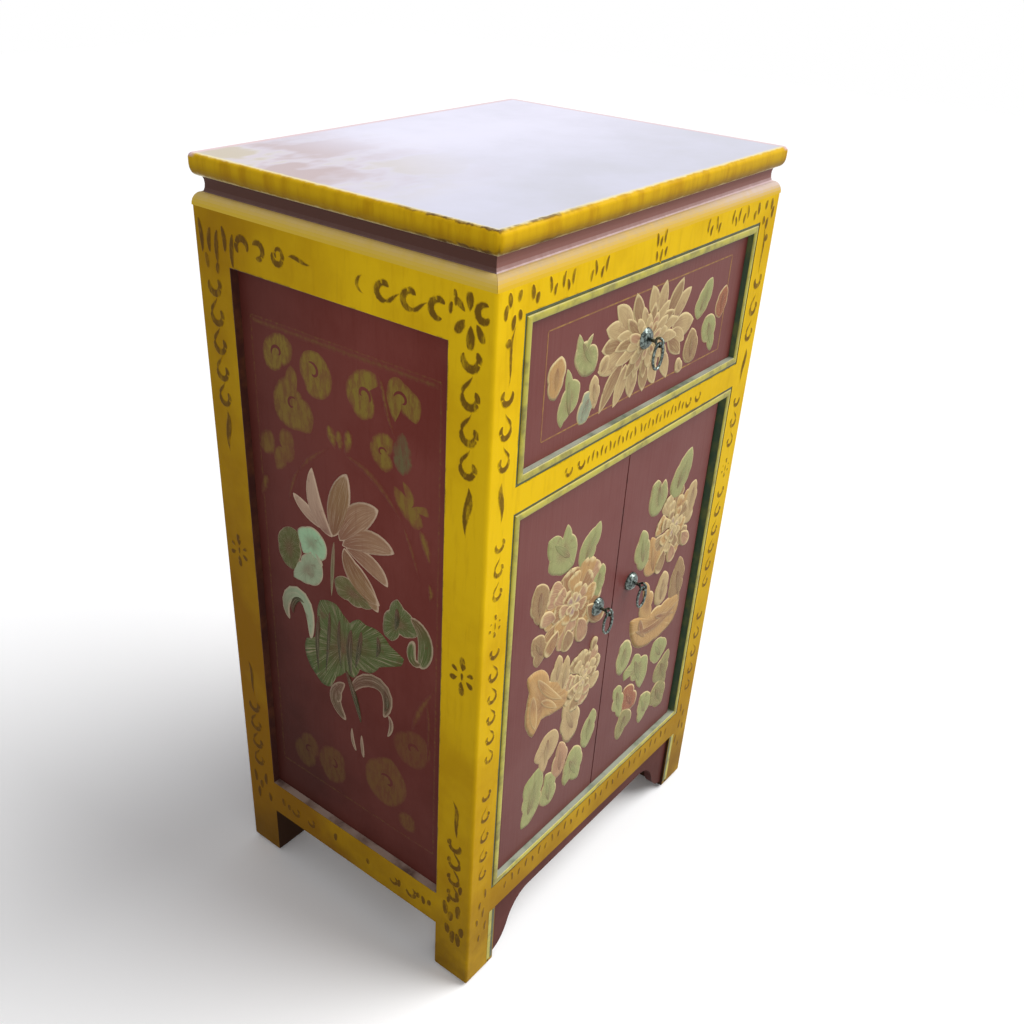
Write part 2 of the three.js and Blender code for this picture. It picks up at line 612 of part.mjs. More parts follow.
place("drawer_front", geometryOf(drawerFront), MAROON, drawer);
place("drawer_left_side", geometryOf(drawerSide), BARE_WOOD, drawer);
place("drawer_right_side", mirrored(geometryOf(drawerSide), "x"), BARE_WOOD, drawer);
place("drawer_back", geometryOf(block(drawerBackX, drawerBackY, [BOTTOM_Z[1] + GAP, drawerSideZ[1]])), BARE_WOOD, drawer);
place("drawer_bottom", geometryOf(block(drawerBottom.x, drawerBottom.y, BOTTOM_Z)), BARE_WOOD, drawer);

// Doors: one board each, its hanging edge rounded about the pivot
function doorOutline() {
  const outline = new THREE.Shape();
  outline.moveTo(-MEETING_GAP / 2, LEAF_FRONT);
  outline.lineTo(-MEETING_GAP / 2, LEAF_FRONT + DOOR_THICK);
  outline.lineTo(-PIVOT_X, LEAF_FRONT + DOOR_THICK);
  outline.absarc(-PIVOT_X, PIVOT_Y, DOOR_THICK / 2, Math.PI / 2, Math.PI * 1.5);
  outline.closePath();
  return outline;
}

const doorZ = [DOOR_BASE + DOOR_GAP, DOOR_TOP - DOOR_GAP];
const leftDoor = geometryOf(cut(
  extrude(doorOutline(), "z", doorZ[0], doorZ[1]),
  pinSocket(-1, doorZ[0] - PAST, doorZ[0] + PIN_IN_DOOR + GAP),
  pinSocket(-1, doorZ[1] - PIN_IN_DOOR - GAP, doorZ[1] + PAST),
  shankHole(-PULL_OFFSET, DOOR_PULL_Z)));
place("left_door", leftDoor, MAROON);
place("right_door", mirrored(leftDoor, "x"), MAROON);

for (const [side, sign] of [["left", -1], ["right", 1]]) {
  const pin = (from, to) => geometryOf(cylinder(PIN_RADIUS, "z", [sign * PIVOT_X, PIVOT_Y], from, to));
  place(`${side}_door_lower_pin`, pin(DOOR_BASE - PIN_IN_RAIL, doorZ[0] + PIN_IN_DOOR), BARE_WOOD);
  place(`${side}_door_upper_pin`, pin(doorZ[1] - PIN_IN_DOOR, DOOR_TOP + PIN_IN_RAIL), BARE_WOOD);
}

// Pulls: a domed boss, a staple with an eye through it, and a long ring that hangs in the eye.
// Each is drawn round its own origin, on the leaf's face, with -Y towards the room.
const EYE_OUT = BOSS_HEIGHT + EYE_NECK + EYE_RADIUS + EYE_WIRE;
const DROP_SEAT = EYE_RADIUS - EYE_WIRE - DROP_WIRE - GAP;

function bossGeometry() {
  const bore = SHANK_RADIUS + SHANK_PLAY;
  const profile = [new THREE.Vector2(bore, 0)];
  for (let i = 0; i <= EDGE_STEPS; i++) {
    const turn = (i / EDGE_STEPS) * Math.PI / 2;
    profile.push(new THREE.Vector2(
      bore + (BOSS_RADIUS - bore) * Math.cos(turn), BOSS_HEIGHT * Math.sin(turn)));
  }
  profile.push(profile[0].clone());
  const dome = new THREE.LatheGeometry(profile, BOSS_SIDES);
  dome.rotateX(Math.PI);
  return geometryOf(solid(facingOut(dome)));
}

function stapleGeometry() {
  const eye = new THREE.TorusGeometry(EYE_RADIUS, EYE_WIRE, WIRE_SIDES, BOSS_SIDES);
  eye.rotateY(Math.PI / 2);
  eye.translate(0, -EYE_OUT, 0);
  const shank = cylinder(SHANK_RADIUS, "y", [0, 0], -EYE_OUT + EYE_RADIUS, SHANK_DEPTH, SHANK_SIDES);
  return geometryOf(join(solid(eye), shank));
}

// A round ring whose wire is moved up or down by the sine of its place in the ring makes a long one of
// the same wire. Its top lies on the lower side of the eye.
function dropGeometry() {
  const ring = new THREE.TorusGeometry(DROP_HALF_WIDTH, DROP_WIRE, WIRE_SIDES, DROP_SIDES);
  const points = ring.attributes.position;
  for (let i = 0; i < points.count; i++) {
    const sine = points.getY(i) / Math.hypot(points.getX(i), points.getY(i));
    points.setY(i, points.getY(i) + sine * (DROP_HALF_LENGTH - DROP_HALF_WIDTH));
  }
  ring.rotateX(Math.PI / 2);
  ring.translate(0, -EYE_OUT, -DROP_SEAT - DROP_HALF_LENGTH);
  return geometryOf(solid(ring));
}

const boss = bossGeometry();
const staple = stapleGeometry();
const drop = dropGeometry();
const pulls = [
  ["drawer", 0, DRAWER_PULL_Z],
  ["left_door", -PULL_OFFSET, DOOR_PULL_Z],
  ["right_door", PULL_OFFSET, DOOR_PULL_Z]];
for (const [name, x, z] of pulls) {
  const pull = new THREE.Group();
  pull.position.set(x, LEAF_FRONT, z);
  cabinet.add(pull);
  place(`${name}_pull_boss`, boss, IRON, pull);
  place(`${name}_pull_staple`, staple, IRON, pull);
  place(`${name}_pull_ring`, drop, IRON, pull);
}

export default cabinet;
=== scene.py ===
# %% [markdown]
# # A painted bedside cabinet
# The joinery comes in as a fixed frame, every board at its real size. This lesson paints it.
# Lengths are in metres, +Z is up and the drawer and doors face -Y.

# %% Load the joinery
import json
import math

import bpy
import numpy as np
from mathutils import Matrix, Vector


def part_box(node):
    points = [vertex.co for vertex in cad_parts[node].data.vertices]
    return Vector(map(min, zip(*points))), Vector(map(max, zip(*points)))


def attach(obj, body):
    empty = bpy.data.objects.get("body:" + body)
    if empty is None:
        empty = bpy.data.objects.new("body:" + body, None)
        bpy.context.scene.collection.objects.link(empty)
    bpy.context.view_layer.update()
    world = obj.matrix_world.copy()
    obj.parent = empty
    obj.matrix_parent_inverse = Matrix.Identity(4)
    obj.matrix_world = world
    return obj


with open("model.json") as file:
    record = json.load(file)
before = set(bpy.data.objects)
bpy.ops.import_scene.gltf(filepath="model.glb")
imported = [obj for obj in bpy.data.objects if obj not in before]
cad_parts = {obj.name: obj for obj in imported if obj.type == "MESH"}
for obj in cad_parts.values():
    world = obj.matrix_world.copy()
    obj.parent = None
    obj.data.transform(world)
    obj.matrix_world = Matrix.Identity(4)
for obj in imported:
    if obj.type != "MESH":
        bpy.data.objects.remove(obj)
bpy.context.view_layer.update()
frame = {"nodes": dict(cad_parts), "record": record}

nodes = frame["nodes"]
MM = 0.001
print("boards and irons:", len(nodes))


def node_box(name):
    """A board's lowest and highest corners in millimetres."""
    low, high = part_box(name)
    return np.array(low) / MM, np.array(high) / MM


def rectangle(low, high):
    """The four corners of a rectangle, round it from the lowest one."""
    return [(low[0], low[1]), (high[0], low[1]), (high[0], high[1]), (low[0], high[1])]


# %% Faces and joints of the frame
post_low, post_high = node_box("front_left_post")
rear_high = node_box("rear_right_post")[1]
FRONT_Y, REAR_Y = post_low[1], rear_high[1]
MIDDLE_Y = (FRONT_Y + REAR_Y) / 2
SIDE_X = rear_high[0]
OPENING_X = -post_high[0]
SIDE_OPENING = MIDDLE_Y - post_high[1]
FRAME_TOP = post_high[2]
SIDE_RAIL_LOW = node_box("left_top_rail")[0][2]
SIDE_RAIL_HIGH = node_box("left_bottom_rail")[1][2]
board_low, board_high = node_box("top_board")
print("openings reach", round(OPENING_X, 1), "on the front and", round(SIDE_OPENING, 1), "on the sides")

# %% [markdown]
# ## Camera
# The cabinet was photographed from above its left front corner, close enough for the posts to converge
# towards the feet. A plain perspective camera gives that. Its place, its turn, its focal length and the
# point where its axis meets the picture are the only four facts.

# %% Camera
IMAGE_SIDE = 1024
SENSOR = 36.0
FOCAL_PIXELS = 1084.424
PRINCIPAL_POINT = (487.815, 565.193)
CAMERA_PLACE = (-0.772978, -0.586078, 0.948254)
CAMERA_TURN = (1.012224, -0.040137, -0.892398)
camera_data = bpy.data.cameras.new("camera")
camera_data.sensor_width = SENSOR
camera_data.lens = FOCAL_PIXELS * SENSOR / IMAGE_SIDE
camera_data.shift_x = (IMAGE_SIDE / 2 - PRINCIPAL_POINT[0]) / IMAGE_SIDE
camera_data.shift_y = (PRINCIPAL_POINT[1] - IMAGE_SIDE / 2) / IMAGE_SIDE
camera = bpy.data.objects.new("camera", camera_data)
camera.location = CAMERA_PLACE
camera.rotation_euler = CAMERA_TURN
bpy.context.scene.collection.objects.link(camera)
bpy.context.scene.camera = camera
bpy.context.scene.view_settings.view_transform = "Standard"

# %% [markdown]
# ## Light
# Soft studio light: a broad distant lamp high to the right of the front, which is the brighter side, a small
# square one near the left side, and a pale world. The camera sees the world and the floor as white, and the
# floor keeps the cabinet's shadow.

# %% Colour and node helpers
def linear(red, green, blue):
    """A screen colour, 0 to 255, as the linear light that shaders use: the sRGB curve undone."""
    values = np.array([red, green, blue]) / 255
    light = np.where(values <= 0.04045, values / 12.92, ((values + 0.055) / 1.055) ** 2.4)
    return (*light.tolist(), 1.0)


class Nodes:
    """A short way to write a node tree: a call adds a node, or a few, and returns an output."""

    def __init__(self, tree):
        self.tree = tree

    def add(self, kind, inputs=None, output=0, **settings):
        """One node with its settings, and its inputs by name or number."""
        node = self.tree.nodes.new(kind)
        for name, value in settings.items():
            setattr(node, name, value)
        for name, value in (inputs or {}).items():
            self.feed(node.inputs[name], value)
        return node.outputs[output]

    def feed(self, socket, value):
        """Links another node's output to a socket, or sets a plain value on it."""
        if isinstance(value, bpy.types.NodeSocket):
            self.tree.links.new(value, socket)
        else:
            socket.default_value = value

    def math(self, operation, a, b=0.0, clamp=False):
        return self.add("ShaderNodeMath", {0: a, 1: b}, operation=operation, use_clamp=clamp)

    def plus(self, a, b):
        return self.math("ADD", a, b)

    def minus(self, a, b):
        return self.math("SUBTRACT", a, b)

    def times(self, a, b, clamp=False):
        return self.math("MULTIPLY", a, b, clamp)

    def larger(self, a, b):
        return self.math("MAXIMUM", a, b)

    def apart(self, a, b):
        """How far a lies from b, on either side."""
        return self.math("ABSOLUTE", self.minus(a, b))

    def between(self, value, low, high):
        """0 where value is below low and 1 above high, with a smooth step from one to the other."""
        return self.add("ShaderNodeMapRange", {"Value": value, "From Min": low, "From Max": high},
                        interpolation_type="SMOOTHSTEP", clamp=True)

    def mix(self, factor, a, b):
        node = self.tree.nodes.new("ShaderNodeMix")
        node.data_type = "RGBA"
        self.feed(node.inputs[0], factor)
        self.feed(node.inputs[6], a)
        self.feed(node.inputs[7], b)
        return node.outputs[2]

    def noise(self, where, scale, detail=4.0, rough=0.6):
        return self.add("ShaderNodeTexNoise", {"Vector": where, "Scale": scale, "Detail": detail,
                                               "Roughness": rough})

    def place(self, scale=(1, 1, 1)):
        """Object coordinates in metres, stretched by scale."""
        here = self.add("ShaderNodeTexCoord", output=3)
        return self.add("ShaderNodeMapping", {"Vector": here, "Scale": scale})

    def axis(self, vector, name):
        return self.add("ShaderNodeSeparateXYZ", {0: vector}, output="XYZ".index(name))

    def upward(self):
        """How far a face points up, from -1 to 1."""
        return self.axis(self.add("ShaderNodeNewGeometry", output=1), "Z")

    def bump(self, height, distance, strength=1.0):
        return self.add("ShaderNodeBump", {"Height": height, "Distance": distance, "Strength": strength})


def shader(name):
    """A new material with a Principled shader: returns the material, its Nodes and the shader node."""
    material = bpy.data.materials.new(name)
    material.use_nodes = True
    tree = material.node_tree
    tree.nodes.clear()
    surface = tree.nodes.new("ShaderNodeBsdfPrincipled")
    output = tree.nodes.new("ShaderNodeOutputMaterial")
    tree.links.new(surface.outputs[0], output.inputs[0])
    return material, Nodes(tree), surface


def coat(n, surface, colour, roughness, gloss=0.5, height=None, depth=0.0, strength=0.0):
    """Gives a shader its colour, roughness and gloss, and a bump of some depth where a height is given."""
    for name, value in (("Base Color", colour), ("Roughness", roughness), ("Specular IOR Level", gloss)):
        n.feed(surface.inputs[name], value)
    if height is not None:
        n.feed(surface.inputs["Normal"], n.bump(height, depth, strength))


# %% Lamps, world and floor
def aim(lamp_object, direction):
    """Turns a lamp, which shines down its own -Z, to shine along a direction."""
    lamp_object.rotation_mode = "QUATERNION"
    lamp_object.rotation_quaternion = Vector(direction).to_track_quat("-Z", "Y")
    bpy.context.scene.collection.objects.link(lamp_object)


def distant_lamp(name, aim_from, strength, spread):
    """A lamp as far as the sun, that shines from aim_from towards the origin; spread softens its shadow."""
    data = bpy.data.lights.new(name, "SUN")
    data.energy = strength
    data.angle = math.radians(spread)
    aim(bpy.data.objects.new(name, data), -np.array(aim_from, float))


def square_lamp(name, place, target, watts, side):
    """A square lamp near the cabinet, out of the camera's sight: what is nearer to it gets more light."""
    data = bpy.data.lights.new(name, "AREA")
    data.energy = watts
    data.size = side
    lamp_object = bpy.data.objects.new(name, data)
    lamp_object.location = place
    lamp_object.visible_camera = False
    lamp_object.visible_glossy = False
    aim(lamp_object, np.array(target, float) - np.array(place, float))


distant_lamp("front_lamp", aim_from=(0.8, -0.74, 1.1), strength=3.1, spread=50)
square_lamp("side_lamp", place=(-1.15, -0.85, 0.95), target=(-0.2, -0.05, 0.6), watts=4.4, side=0.6)


def seen_directly(n):
    """1 for what the camera sees straight on or in a mirror, 0 for what lights other things."""
    path = n.tree.nodes.new("ShaderNodeLightPath")
    seen = n.larger(path.outputs["Is Camera Ray"], path.outputs["Is Glossy Ray"])
    return n.larger(seen, path.outputs["Is Transmission Ray"])


WORLD_GREY = (0.37, 0.37, 0.38, 1)
FLOOR_GREY = (0.34, 0.34, 0.34, 1)
WHITE = (1, 1, 1, 1)
world = bpy.data.worlds.new("studio")
bpy.context.scene.world = world
world.use_nodes = True
world_nodes = Nodes(world.node_tree)
background = world.node_tree.nodes["Background"]
world_nodes.feed(background.inputs["Color"], world_nodes.mix(seen_directly(world_nodes), WORLD_GREY, WHITE))
background.inputs["Strength"].default_value = 1.0

FLOOR_REACH = 6.0
floor_mesh = bpy.data.meshes.new("floor")
floor_corners = rectangle((-FLOOR_REACH, -FLOOR_REACH), (FLOOR_REACH, FLOOR_REACH))
floor_mesh.from_pydata([(x, y, 0) for x, y in floor_corners], [], [(0, 1, 2, 3)])
floor = bpy.data.objects.new("floor", floor_mesh)
bpy.context.scene.collection.objects.link(floor)
floor_paint, floor_nodes, floor_surface = shader("studio_floor")
floor_colour = floor_nodes.mix(seen_directly(floor_nodes), FLOOR_GREY, WHITE)
coat(floor_nodes, floor_surface, floor_colour, roughness=1.0, gloss=0.0)
floor_mesh.materials.append(floor_paint)

# %% [markdown]
# ## Paint and lacquer
# Every board was painted by hand, and every ground has painted shade low down and to the rear. The yellow has
# thin streaks along the brush, dull patches, grime low down and brown bare wood where hands and feet rubbed
# the edges. A
# Bevel node finds those edges: its rounded normal differs from the true one only near an arris.

# %% Worn paint
# In metres: the blur over a joint, the heights and depths where the painted shade of the deep tone starts and
# is full, the width of the rub along an edge, and how high the stains reach.
JOINT_BLUR = 0.006
SHADE_BELOW, DARKEST_BELOW = 0.55, 0.0
SHADE_BEHIND, DARKEST_BEHIND = -0.05, 0.17
RUB_RADIUS = 0.003
STAIN_HEIGHT = 0.16


def near(n, value, line, reach):
    """1 where value is on the line, falling to 0 at reach from it on either side."""
    return n.between(n.apart(value, line), reach, reach * 0.5)


def flush_joints(n, where):
    """1 along the lines where two boards meet flush, so that no free edge is there to be rubbed."""
    across = n.apart(n.axis(where, "X"), 0.0)
    behind = n.apart(n.axis(where, "Y"), MIDDLE_Y * MM)
    height = n.axis(where, "Z")
    on_rails = n.larger(n.between(height, (SIDE_RAIL_LOW - 4) * MM, (SIDE_RAIL_LOW + 2) * MM),
                        n.between(height, (SIDE_RAIL_HIGH + 4) * MM, (SIDE_RAIL_HIGH - 2) * MM))
    side = n.times(near(n, behind, SIDE_OPENING * MM, JOINT_BLUR), on_rails)
    front = near(n, across, OPENING_X * MM, JOINT_BLUR)
    return n.larger(n.larger(front, side), near(n, height, FRAME_TOP * MM, JOINT_BLUR + MM))


def brushed(n, tones, streak_scale=(60, 60, 8)):
    """The plain painted ground: main and dull tones mixed by patches and streaks, and the deep tone, painted
    shade that grows low down and to the rear. Returns the colour, the patches and the streaks."""
    main, dull, deep = tones
    where = n.place()
    streaks = n.noise(n.place(streak_scale), 3.0, 5.0)
    patches = n.noise(where, 9.0, 5.0)
    colour = n.mix(n.times(n.between(patches, 0.42, 0.7), 0.6), main, dull)
    colour = n.mix(n.times(n.between(streaks, 0.5, 0.75), 0.35), colour, dull)
    # Painted shade: the deep tone grows low down and towards the rear.
    low = n.between(n.axis(where, "Z"), SHADE_BELOW, DARKEST_BELOW)
    rear = n.between(n.axis(where, "Y"), SHADE_BEHIND, DARKEST_BEHIND)
    shade_share = n.plus(n.times(low, 0.75), n.times(rear, 0.75))
    return n.mix(n.times(shade_share, n.plus(patches, 0.45), clamp=True), colour, deep), patches, streaks


def worn_paint(name, tones, worn, roughness, gloss, low_grime, streak_scale=(60, 60, 8), inside=None,
               varnish=0.0):
    """A brushed ground with a worn tone on its rubbed edges and as stains over the lowest hand's breadth.
    Faces turned to the cabinet's middle, where normal times place is negative, take the inside tone."""
    material, n, surface = shader(name)
    where = n.place()
    colour, patches, streaks = brushed(n, tones, streak_scale)
    rounded = n.add("ShaderNodeBevel", {"Radius": RUB_RADIUS}, samples=6)
    true_normal = n.add("ShaderNodeNewGeometry", output=1)
    facing = n.add("ShaderNodeVectorMath", {0: rounded, 1: true_normal}, output=1, operation="DOT_PRODUCT")
    edge = n.between(n.minus(1.0, facing), 0.03, 0.16)
    free = n.minus(1.0, flush_joints(n, where))
    breaks = n.between(n.noise(where, 38.0, 6.0, 0.7), 0.48, 0.62)
    low = n.between(n.axis(where, "Z"), STAIN_HEIGHT, 0.0)
    rub = n.times(edge, n.plus(breaks, n.times(low, 0.5)), clamp=True)
    rub = n.times(n.times(rub, free), 0.8)
    stain = n.times(n.times(low, low_grime), n.between(patches, 0.3, 0.6))
    colour = n.mix(n.larger(rub, stain), colour, worn)
    if inside:
        behind = n.minus(n.axis(where, "Y"), MIDDLE_Y * MM)
        outward = n.plus(n.times(n.axis(true_normal, "X"), n.axis(where, "X")),
                         n.times(n.axis(true_normal, "Y"), behind))
        colour = n.mix(n.between(outward, -0.02, -0.08), colour, inside)
    uneven = n.add("ShaderNodeMapRange", {"Value": patches, "To Min": roughness - 0.08,
                                          "To Max": roughness + 0.12})
    coat(n, surface, colour, uneven, gloss, streaks, depth=0.0004, strength=0.5)
    surface.inputs["Coat Weight"].default_value = varnish
    surface.inputs["Coat Roughness"].default_value = 0.3
    return material


# The third tone of each set is the deep tone: painted shade laid low down and to the rear.
YELLOW_TONES = (linear(236, 194, 20), linear(206, 160, 12), linear(150, 104, 4))
MAROON_TONES = (linear(124, 62, 54), linear(106, 42, 34), linear(72, 34, 28))
LEAF_TONES = (linear(112, 56, 50), linear(102, 40, 36), linear(84, 32, 28))
yellow = worn_paint("yellow_paint", YELLOW_TONES, worn=linear(96, 66, 24), roughness=0.45, gloss=0.05,
                    low_grime=0.6, inside=linear(62, 40, 26))
maroon = worn_paint("maroon_paint", MAROON_TONES, worn=linear(56, 28, 22), roughness=0.5, gloss=0.08,
                    low_grime=0.4)
leaf_maroon = worn_paint("leaf_maroon_paint", LEAF_TONES, worn=linear(60, 28, 24), roughness=0.45,
                         gloss=0.24, low_grime=0.2, streak_scale=(90, 90, 5), varnish=0.05)


# %% Moulding paints
def moulding_paint(name, main, dust_and_highlight, right_end_reflection=None):
    """Paint of a moulding that faces up: a paler tone of dust and painted highlight, in fine upright streaks,
    grows as the surface turns up, and may go to another tone, a painted reflection, along the last third
    towards the right end."""
    material, n, surface = shader(name)
    streaks = n.noise(n.place((150, 150, 6)), 1.0, 4.0)
    # Dust and painted highlight on the surfaces that turn up.
    highlight_and_dust_share = n.times(n.between(n.upward(), 0.0, 0.75), n.plus(streaks, 0.35), clamp=True)
    # Painted reflection: the pale tone towards the right end.
    end = n.times(n.between(n.axis(n.place(), "X"), 0.02, 0.2), highlight_and_dust_share)
    colour = n.mix(end, n.mix(highlight_and_dust_share, main, dust_and_highlight), right_end_reflection or dust_and_highlight)
    coat(n, surface, colour, 0.5, 0.1, streaks, depth=0.0003, strength=0.4)
    return material


shoulder_front = moulding_paint("shoulder_front_paint", linear(224, 182, 44), linear(190, 164, 120),
                                linear(208, 188, 182))
shoulder_side = moulding_paint("shoulder_side_paint", linear(226, 190, 60), linear(228, 198, 124))
# The waist's two paints are lit and shaded copies of one maroon: the front one lighter and mauve by painted
# reflection, the side one darker by painted shade.
waist_front_reflection = moulding_paint("waist_front_paint", linear(142, 98, 90), linear(208, 184, 182),
                             linear(212, 186, 188))
waist_side_shade = moulding_paint("waist_side_paint", linear(86, 56, 48), linear(124, 98, 94))


# %% Lacquer, bare wood and iron
def top_lacquer_with_reflection():
    """The top board: lacquer in cool white, clouded with pink and cream towards the left end and lighter
    towards the rear, all painted reflection, inside a ragged cream line that is painted reflection on the
    yellow edge. The distance in from the rim is the larger of how far a point lies out either way. Past the
    line the moulded edge is yellow, darker under its round by painted shade, with a pink rim of painted
    reflection where it faces up at the far ends and a broken dark line at the front left corner."""
    cream_line, nose_edge = (-0.0075, -0.0035), (-0.0042, -0.0018)
    half_x, half_y = board_high[0] * MM, (board_high[1] - board_low[1]) / 2 * MM
    front, rear = MIDDLE_Y * MM - half_y, MIDDLE_Y * MM + half_y
    material, n, surface = shader("top_lacquer")
    where = n.place()
    x, y, z = (n.axis(where, letter) for letter in "XYZ")
    out_x = n.minus(n.apart(x, 0.0), half_x)
    out_y = n.minus(n.apart(y, MIDDLE_Y * MM), half_y)
    ragged = n.times(n.minus(n.noise(n.place((1, 1, 0.1)), 130.0, 3.0), 0.5), 0.004)
    out = n.plus(n.larger(out_x, out_y), ragged)
    # Painted reflection: the pale top, lighter towards the rear, with pink and cream clouds to the left.
    clouds = n.between(n.noise(where, 7.0, 5.0), 0.35, 0.7)
    near_reflection = n.mix(clouds, linear(206, 206, 224), linear(196, 196, 208))
    far_reflection = n.mix(clouds, linear(228, 226, 244), linear(216, 214, 232))
    top = n.mix(n.between(y, -0.15, 0.1), near_reflection, far_reflection)
    leftward = n.times(n.between(x, -0.02, -0.2), n.between(y, -0.1, 0.08))
    pinks = n.noise(n.place((1, 1.6, 1)), 11.0, 3.0)
    pink = n.times(n.plus(n.between(pinks, 0.42, 0.62), 0.2), leftward, clamp=True)
    top = n.mix(pink, top, linear(188, 168, 170))
    top = n.mix(n.times(n.between(pinks, 0.52, 0.4), leftward), top, linear(196, 184, 164))
    # Painted reflection: the cream line on the yellow edge.
    dusty_highlight = n.mix(n.between(out, *cream_line), top, linear(236, 222, 160))
    streaks = n.noise(n.place((1, 1, 0.2)), 90.0, 4.0)
    nose = n.mix(n.between(streaks, 0.4, 0.7), linear(220, 176, 20), linear(198, 150, 12))
    # Painted shade under the nose's round.
    nose = n.mix(n.times(n.between(z, 0.757, 0.744), 0.6), nose, linear(116, 80, 14))
    on_nose = n.between(out, *nose_edge)
    colour = n.mix(on_nose, dusty_highlight, nose)
    # Painted reflection: a pink rim where the edge faces up at the far ends.
    far = n.larger(n.between(x, half_x - 0.012, half_x - 0.004), n.between(y, rear - 0.012, rear - 0.004))
    colour = n.mix(n.times(far, n.between(n.upward(), 0.2, 0.6)), colour, linear(222, 190, 196))
    corner = n.add("ShaderNodeVectorMath", {0: where, 1: (-half_x, front, board_high[2] * MM)}, output=1,
                   operation="DISTANCE")
    line = n.times(near(n, out, -0.003, 0.0022), n.between(corner, 0.12, 0.05))
    line = n.times(line, n.between(y, -0.158, -0.15))
    colour = n.mix(n.times(line, n.between(streaks, 0.3, 0.6)), colour, linear(96, 70, 34))
    coat(n, surface, colour, 0.36, n.minus(0.3, n.times(on_nose, 0.26)))
    return material


def bare_softwood():
    """Unpainted pine: growth rings are bands across the board, pulled long by a small scale along it."""
    material, n, surface = shader("bare_wood")
    rings = n.add("ShaderNodeTexWave", {"Vector": n.place((1, 0.12, 1)), "Scale": 28.0, "Distortion": 5.0,
                                        "Detail": 3.0}, output=1)
    colour = n.mix(rings, linear(196, 156, 104), linear(164, 120, 74))
    coat(n, surface, colour, 0.7, height=rings, depth=0.0003, strength=0.4)
    return material


def dark_iron():
    """Blackened iron, rubbed bright on the high places."""
    material, n, surface = shader("iron_pulls")
    pits = n.noise(n.place(), 400.0, 3.0)
    colour = n.mix(n.between(pits, 0.4, 0.65), linear(58, 64, 62), linear(132, 144, 138))
    coat(n, surface, colour, 0.28, height=pits, depth=0.0002, strength=0.4)
    surface.inputs["Metallic"].default_value = 1.0
    return material


finishes = {
    "yellow_paint": yellow,
    "maroon_paint": maroon,
    "top_lacquer": top_lacquer_with_reflection(),
    "bare_wood": bare_softwood(),
    "iron_pulls": dark_iron(),
}
own_finishes = {"drawer_front": leaf_maroon, "left_door": leaf_maroon, "right_door": leaf_maroon}
for end in ("front", "right", "back", "left"):
    own_finishes["shoulder_moulding_" + end] = shoulder_front if end == "front" else shoulder_side
    own_finishes["waist_moulding_" + end] = waist_front_reflection if end == "front" else waist_side_shade
for part in frame["record"]["subparts"]:
    board = nodes[part["node"]]
    board.data.materials.clear()
    board.data.materials.append(own_finishes.get(part["node"], finishes[part["material_slot"]]))
print("finishes:", sorted(finishes))

# %% [markdown]
# ## Beads, grooves and green reveals
# Round each front opening the painter laid a lime bead, a dark green line beside it and green paint on the
# reveal. They could be painted in a texture, but a raised bead catches light and a groove holds shadow,
# so each is a profile carried round the opening with mitred corners.

# %% A profile carried round an opening
def closed_grid(rows, columns, around=False):
    """Four-sided faces of a grid whose columns close on themselves, and whose rows do too where around is
    true: face (i, j) joins point (i, j) to its neighbours at i + 1 and j + 1."""
    i, j = np.meshgrid(np.arange(rows if around else rows - 1), np.arange(columns), indexing="ij")
    next_i, next_j = (i + 1) % rows, (j + 1) % columns
    corners = (i * columns + j, i * columns + next_j, next_i * columns + next_j, next_i * columns + j)
    return np.stack(corners, -1).reshape(-1, 4)


def make_piece(name, points, faces, finish, body, smooth=True):
    """Points in millimetres and faces become one object at the origin, riding on a body."""
    mesh = bpy.data.meshes.new(name)
    mesh.from_pydata((np.asarray(points) * MM).tolist(), [], [list(map(int, face)) for face in faces])
    mesh.polygons.foreach_set("use_smooth", [smooth] * len(mesh.polygons))
    mesh.materials.append(finish)
    mesh.update()
    piece = bpy.data.objects.new(name, mesh)
    bpy.context.scene.collection.objects.link(piece)
    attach(piece, body)
    return piece


def rectangle_ring(low, high, profile):
    """Carries a closed profile round a rectangle on a face. A profile point (out, rise) lies out from the
    rectangle's edge on the face and rise off it, so at a corner it moves out both ways: a mitre."""
    out, rise = np.asarray(profile, float).T
    signs = np.array(rectangle((-1, -1), (1, 1)))
    corner = np.array(rectangle(low, high))
    flat = corner[:, None, :] + signs[:, None, :] * out[None, :, None]
    heights = np.broadcast_to(rise, flat.shape[:2])
    return flat.reshape(-1, 2), heights.reshape(-1), closed_grid(4, len(out), around=True)


class Board:
    """A flat face to paint: a point on it, the way across it and the way out of it. Up is +Z."""

    def __init__(self, origin, across, out):
        self.origin, self.across, self.out = (np.array(v, float) for v in (origin, across, out))
        self.up = np.array([0.0, 0.0, 1.0])
        self.turned = np.dot(np.cross(self.across, self.up), self.out) < 0

    def lay(self, flat, height):
        """A point (across, up) on the face and its height off it, as a point in space."""
        flat, height = np.asarray(flat, float), np.asarray(height, float)
        return (self.origin + flat[:, :1] * self.across + flat[:, 1:] * self.up
                + height[:, None] * self.out)

    def facing(self, faces):
        """The faces, turned over on a face where across, up and out make a left hand."""
        return [face[::-1] for face in faces] if self.turned else list(faces)


def ring_piece(name, board, low, high, profile, finish, body="carcass"):
    """A profile carried round a rectangle on a board, as one piece of trim."""
    flat, rise, faces = rectangle_ring(low, high, profile)
    return make_piece(name, board.lay(flat, rise), board.facing(faces), finish, body, smooth=False)


